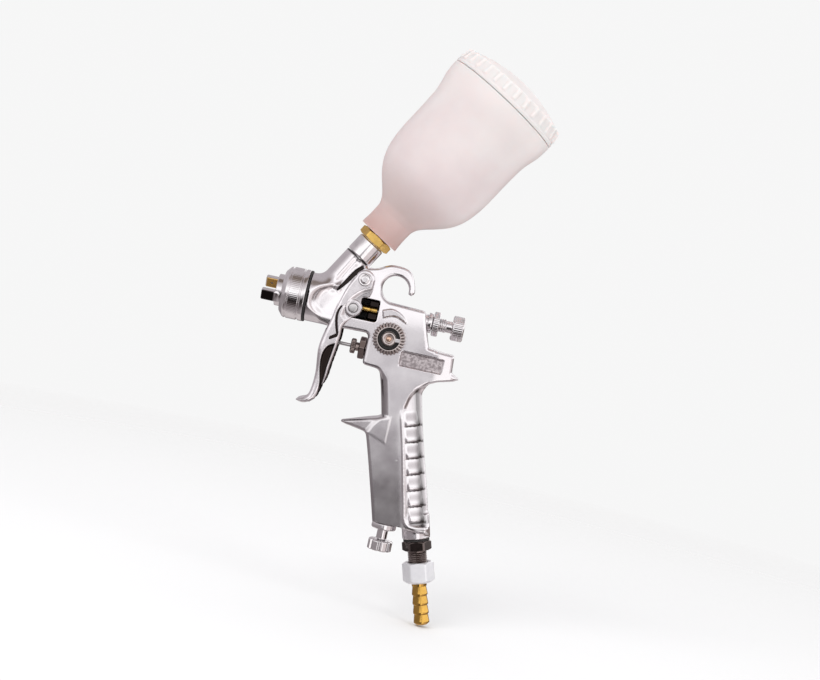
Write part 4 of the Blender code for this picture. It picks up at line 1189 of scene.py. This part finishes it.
def build_cup(metals):
    """Cup stem, lock nut, cup and lid."""
    joint = [(-24.5, 4.7, 0.2), (-15.7, 4.7, 0.1), (-15.7, 6.9, 0.1), (-15.2, 7.2, 0.2), (-6.8, 7.2, 0.2),
             (-6.3, 6.8, 0.1), (-6.3, 6.2, 0.1), (9.2, 6.2, 0.2), (9.2, 3.6, 0.2), (-24.5, 3.3, 0.2)]
    turned("cup_stem", joint, CUP, metals["chrome"], "gun", "chrome_plate", "cup_joint", sides=120)
    corner = CUP_NUT / sqrt(3) + 0.1
    nut = chamfered([(-6.0, corner), (-1.7, corner)], 0.7) + [(-1.7, 6.5, 0.1), (-6.0, 6.5, 0.1)]
    turned("brass_lock_nut", nut, CUP, metals["brass"], "gun", "brass", "cup_lock_nut",
           form=hexagonal(-6.0, -1.7, CUP_NUT), sides=144, fine=(-6.0, -1.7, 0.25))
    turned("paint_cup", cup_profile(), CUP, metals["nylon"], "gun", "milky_nylon", "cup", sides=144,
           edge=0.3)
    turned("cup_cap", lid_profile(), CUP, metals["nylon"], "lid", "milky_nylon", "cup_lid", form=lid_ribs,
           sides=480, edge=0.3, fine=(90.0, 97.6, 0.5))


# ---------------------------------------------------------------- pieces kept from the frame


def dress_kept_nodes(nodes, metals):
    """The inner pieces keep their CAD meshes and take their finish here."""
    kept = {
        "steel": ("needle_spring", "air_valve_spring", "fan_spindle"),
        "brass": ("packing_gland", "spring_button", "air_valve_poppet"),
        "packing": ("needle_packing", "valve_packing"),
        "rubber": ("air_adjust_seal",),
        "nylon": ("cup_strainer",),
    }
    for finish, names in kept.items():
        for name in names:
            mesh = nodes[name].data
            mesh.materials.clear()
            mesh.materials.append(metals[finish])


# ---------------------------------------------------------------- stage


def hill(tree, value, low, high, fade):
    """1 between two values, falling to 0 over the fade beyond them."""
    up = spread(tree, value, 0.0, 1.0, low - fade, low)
    down = spread(tree, value, 1.0, 0.0, high, high + fade)
    return node(tree, "ShaderNodeMath", {0: up, 1: down}, operation="MULTIPLY").outputs[0]


def over(tree, colour, factor, other, tint):
    """Mixes a tint over a colour where both masks are 1."""
    both = node(tree, "ShaderNodeMath", {0: factor, 1: other}, operation="MULTIPLY").outputs[0]
    return blend_of(tree, both, colour, tint)


def studio_world():
    """A pale surround for the camera, and for metal a studio with a bright band over a dark one."""
    world = bpy.data.worlds.new("studio")
    world.use_nodes = True
    bpy.context.scene.world = world
    tree = world.node_tree
    tree.nodes.clear()
    path = node(tree, "ShaderNodeLightPath")
    direction = node(tree, "ShaderNodeTexCoord").outputs["Generated"]
    parts = node(tree, "ShaderNodeSeparateXYZ", {0: direction})
    away = node(tree, "ShaderNodeMath", {0: parts.outputs["Y"], 1: -1.0}, operation="MULTIPLY").outputs[0]
    round_to = node(tree, "ShaderNodeMath", {0: parts.outputs["X"], 1: away}, operation="ARCTAN2").outputs[0]
    tilt = spread(tree, round_to, 0.13, 0.0, -0.07, -0.01)
    height = node(tree, "ShaderNodeMath", {0: parts.outputs["Z"], 1: tilt}, operation="ADD").outputs[0]
    bands = node(tree, "ShaderNodeValToRGB", {0: spread(tree, height, 0.0, 1.0, -1.0, 1.0)})
    stops = [
        (-1.00, (0.42, 0.39, 0.40)), (-0.90, (0.40, 0.36, 0.37)), (-0.80, (0.26, 0.23, 0.235)),
        (-0.68, (0.11, 0.09, 0.09)), (-0.55, (0.03, 0.024, 0.023)), (-0.30, (0.015, 0.012, 0.012)),
        (-0.17, (0.12, 0.105, 0.11)), (-0.10, (0.40, 0.375, 0.39)), (-0.03, (0.50, 0.48, 0.50)),
        (0.04, (0.62, 0.60, 0.62)), (0.12, (1.30, 1.28, 1.29)), (0.40, (1.30, 1.28, 1.29)),
        (0.59, (0.84, 0.80, 0.81)), (0.82, (0.60, 0.56, 0.58)), (0.95, (0.44, 0.39, 0.38)),
        (1.00, (0.20, 0.16, 0.14)),
    ]
    ramp_stops = bands.color_ramp.elements
    while len(ramp_stops) > 1:
        ramp_stops.remove(ramp_stops[-1])
    for k, (level, colour) in enumerate(stops):
        stop = ramp_stops[0] if k == 0 else ramp_stops.new((level + 1) / 2)
        stop.position = (level + 1) / 2
        stop.color = (*colour, 1.0)
    low = hill(tree, height, -0.60, 0.0, 0.10)
    high = hill(tree, height, 0.05, 2.0, 0.10)
    below = hill(tree, height, -2.0, -0.45, 0.15)
    patches = [
        (low, (-3.2, -0.45, 0.25), (0.30, 0.27, 0.28)),
        (high, (-3.2, -1.40, 0.70), (0.52, 0.48, 0.50)),
        (low, (1.30, 3.2, 0.15), (0.22, 0.18, 0.17)),
        (low, (0.50, 1.20, 0.12), (0.78, 0.70, 0.70)),
        (low, (0.14, 0.50, 0.08), (1.30, 1.26, 1.26)),
    ]
    studio = bands.outputs[0]
    for level, stretch, tint in patches:
        studio = over(tree, studio, level, hill(tree, round_to, *stretch), tint)
    behind = hill(tree, parts.outputs["Y"], 0.15, 2.0, 0.15)
    studio = over(tree, studio, below, behind, (0.62, 0.57, 0.57))
    mirrored = blend_of(tree, path.outputs["Is Diffuse Ray"], studio, (0.95, 0.95, 0.96))
    pale = blend_of(tree, path.outputs["Is Camera Ray"], mirrored, (0.925, 0.925, 0.925))
    background = node(tree, "ShaderNodeBackground", {"Color": pale, "Strength": 1.0})
    output = node(tree, "ShaderNodeOutputWorld")
    tree.links.new(background.outputs[0], output.inputs["Surface"])


def pale_floor(height):
    """A pale disc that fades into the surround, and can't be seen from below or in the metal."""
    mesh = bpy.data.meshes.new("floor")
    shape = bmesh.new()
    bmesh.ops.create_circle(shape, cap_ends=True, segments=96, radius=FLOOR_RADIUS)
    shape.to_mesh(mesh)
    shape.free()
    material, tree, surface = new_material("pale_floor", Base_Color=(0.86, 0.86, 0.86, 1.0), Roughness=0.9)
    reach = node(tree, "ShaderNodeVectorMath", {0: node(tree, "ShaderNodeTexCoord").outputs["Object"]},
                 operation="LENGTH").outputs["Value"]
    faded = spread(tree, reach, 0.0, 1.0, 0.15, 0.9 * FLOOR_RADIUS)
    below = node(tree, "ShaderNodeNewGeometry").outputs["Backfacing"]
    gone = node(tree, "ShaderNodeMath", {0: faded, 1: below}, operation="MAXIMUM").outputs[0]
    clear = node(tree, "ShaderNodeBsdfTransparent")
    mixed = node(tree, "ShaderNodeMixShader", {0: gone, 1: surface.outputs[0], 2: clear.outputs[0]})
    tree.links.new(mixed.outputs[0], tree.nodes["Material Output"].inputs["Surface"])
    floor = shown("floor", mesh, material)
    floor.location = (0.07, 0.0, height)
    floor.visible_glossy = False


def area_light(name, place, target, size, power):
    """A round soft light that polished metal does not mirror."""
    data = bpy.data.lights.new(name, "AREA")
    data.shape = "DISK"
    data.size = size
    data.energy = power
    light = bpy.data.objects.new(name, data)
    bpy.context.scene.collection.objects.link(light)
    aim = (Vector(target) - Vector(place)).to_track_quat("-Z", "Y")
    light.matrix_world = Matrix.Translation(Vector(place)) @ aim.to_matrix().to_4x4()
    light.visible_glossy = False


def photo_camera():
    """Level with the gun, a little behind its side, and rolled so that the nose points up."""
    target = Vector((0.0704, 0.0, -0.0105))
    azimuth, elevation, roll, distance = radians(0.8), radians(2.5), radians(12.4), 0.85
    back = Vector((sin(azimuth) * cos(elevation), -cos(azimuth) * cos(elevation), sin(elevation)))
    aim = (-back).to_track_quat("-Z", "Y").to_matrix().to_4x4()
    data = bpy.data.cameras.new("camera")
    data.sensor_width = 36.0
    data.lens = 36.0 * distance / 0.41
    camera = bpy.data.objects.new("camera", data)
    bpy.context.scene.collection.objects.link(camera)
    camera.matrix_world = Matrix.Translation(target + back * distance) @ aim @ Matrix.Rotation(roll, 4, "Z")
    bpy.context.scene.camera = camera


def build_stage():
    """Surround, floor, lights and camera."""
    bpy.context.scene.view_settings.view_transform = "Standard"
    studio_world()
    low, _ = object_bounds()
    pale_floor(low[2] - 0.0005)
    middle = (0.07, 0.0, 0.0)
    area_light("key", (-0.7, -1.0, 1.3), middle, size=0.9, power=9.0)
    area_light("fill", (1.1, -0.9, 0.5), middle, size=0.9, power=4.0)
    photo_camera()


# ---------------------------------------------------------------- assembly

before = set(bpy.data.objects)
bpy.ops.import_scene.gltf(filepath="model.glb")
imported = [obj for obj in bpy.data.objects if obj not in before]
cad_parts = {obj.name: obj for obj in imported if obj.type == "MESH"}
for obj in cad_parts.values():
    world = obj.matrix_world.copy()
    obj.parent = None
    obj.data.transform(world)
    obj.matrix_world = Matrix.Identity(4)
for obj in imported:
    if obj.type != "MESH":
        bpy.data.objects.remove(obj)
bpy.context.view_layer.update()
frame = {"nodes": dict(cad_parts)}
metals = {
    "cast": cast_metal(),
    "chrome": plated_metal("bright_plate", (0.88, 0.86, 0.87), 0.09),
    "chrome_plain": plated_metal("bright_plate_plain", (0.88, 0.86, 0.87), 0.12, marks=False),
    "pressed": plated_metal("pressed_plate", (0.86, 0.83, 0.85), 0.16, marks=False),
    # Painted shade: a darkened copy of the bright plate for the air valve, which sits in shade
    "chrome_in_shade": plated_metal("chrome_painted_in_shade", (0.36, 0.30, 0.28), 0.12),
    # Painted shade: a half-darkened copy of the bright plate for the fan knob
    "chrome_in_half_shade": plated_metal("chrome_painted_in_half_shade", (0.62, 0.56, 0.54), 0.14),
    "nickel": satin_nickel(),
    "steel": plated_metal("ground_steel", (0.68, 0.67, 0.67), 0.2),
    "brass": plated_metal("turned_brass", (0.84, 0.55, 0.16), 0.2),
    "amber": plated_metal("tail_brass", (0.74, 0.44, 0.10), 0.10),
    # Painted shade: a much darker copy of the bright plate for the hose inlet nipple
    "chrome_in_deep_shade": plated_metal("chrome_painted_in_deep_shade", (0.22, 0.18, 0.17), 0.10),
    "copper": plated_metal("worn_copper", (0.72, 0.50, 0.38), 0.2, marks=False),
    "cap": cap_metal(),
    "rubber": seal_rubber(),
    "packing": packing_plastic(),
    "nylon": milky_nylon(),
}
build_body(metals["cast"])
build_trigger(metals["pressed"], metals["rubber"])
build_air_cap(metals["cap"])
build_head(metals)
build_needle(metals)
build_pins(metals)
build_air_valve(metals)
build_fan_valve(metals)
build_foot(metals)
build_hose(metals)
build_cup(metals)
dress_kept_nodes(frame["nodes"], metals)
build_stage()
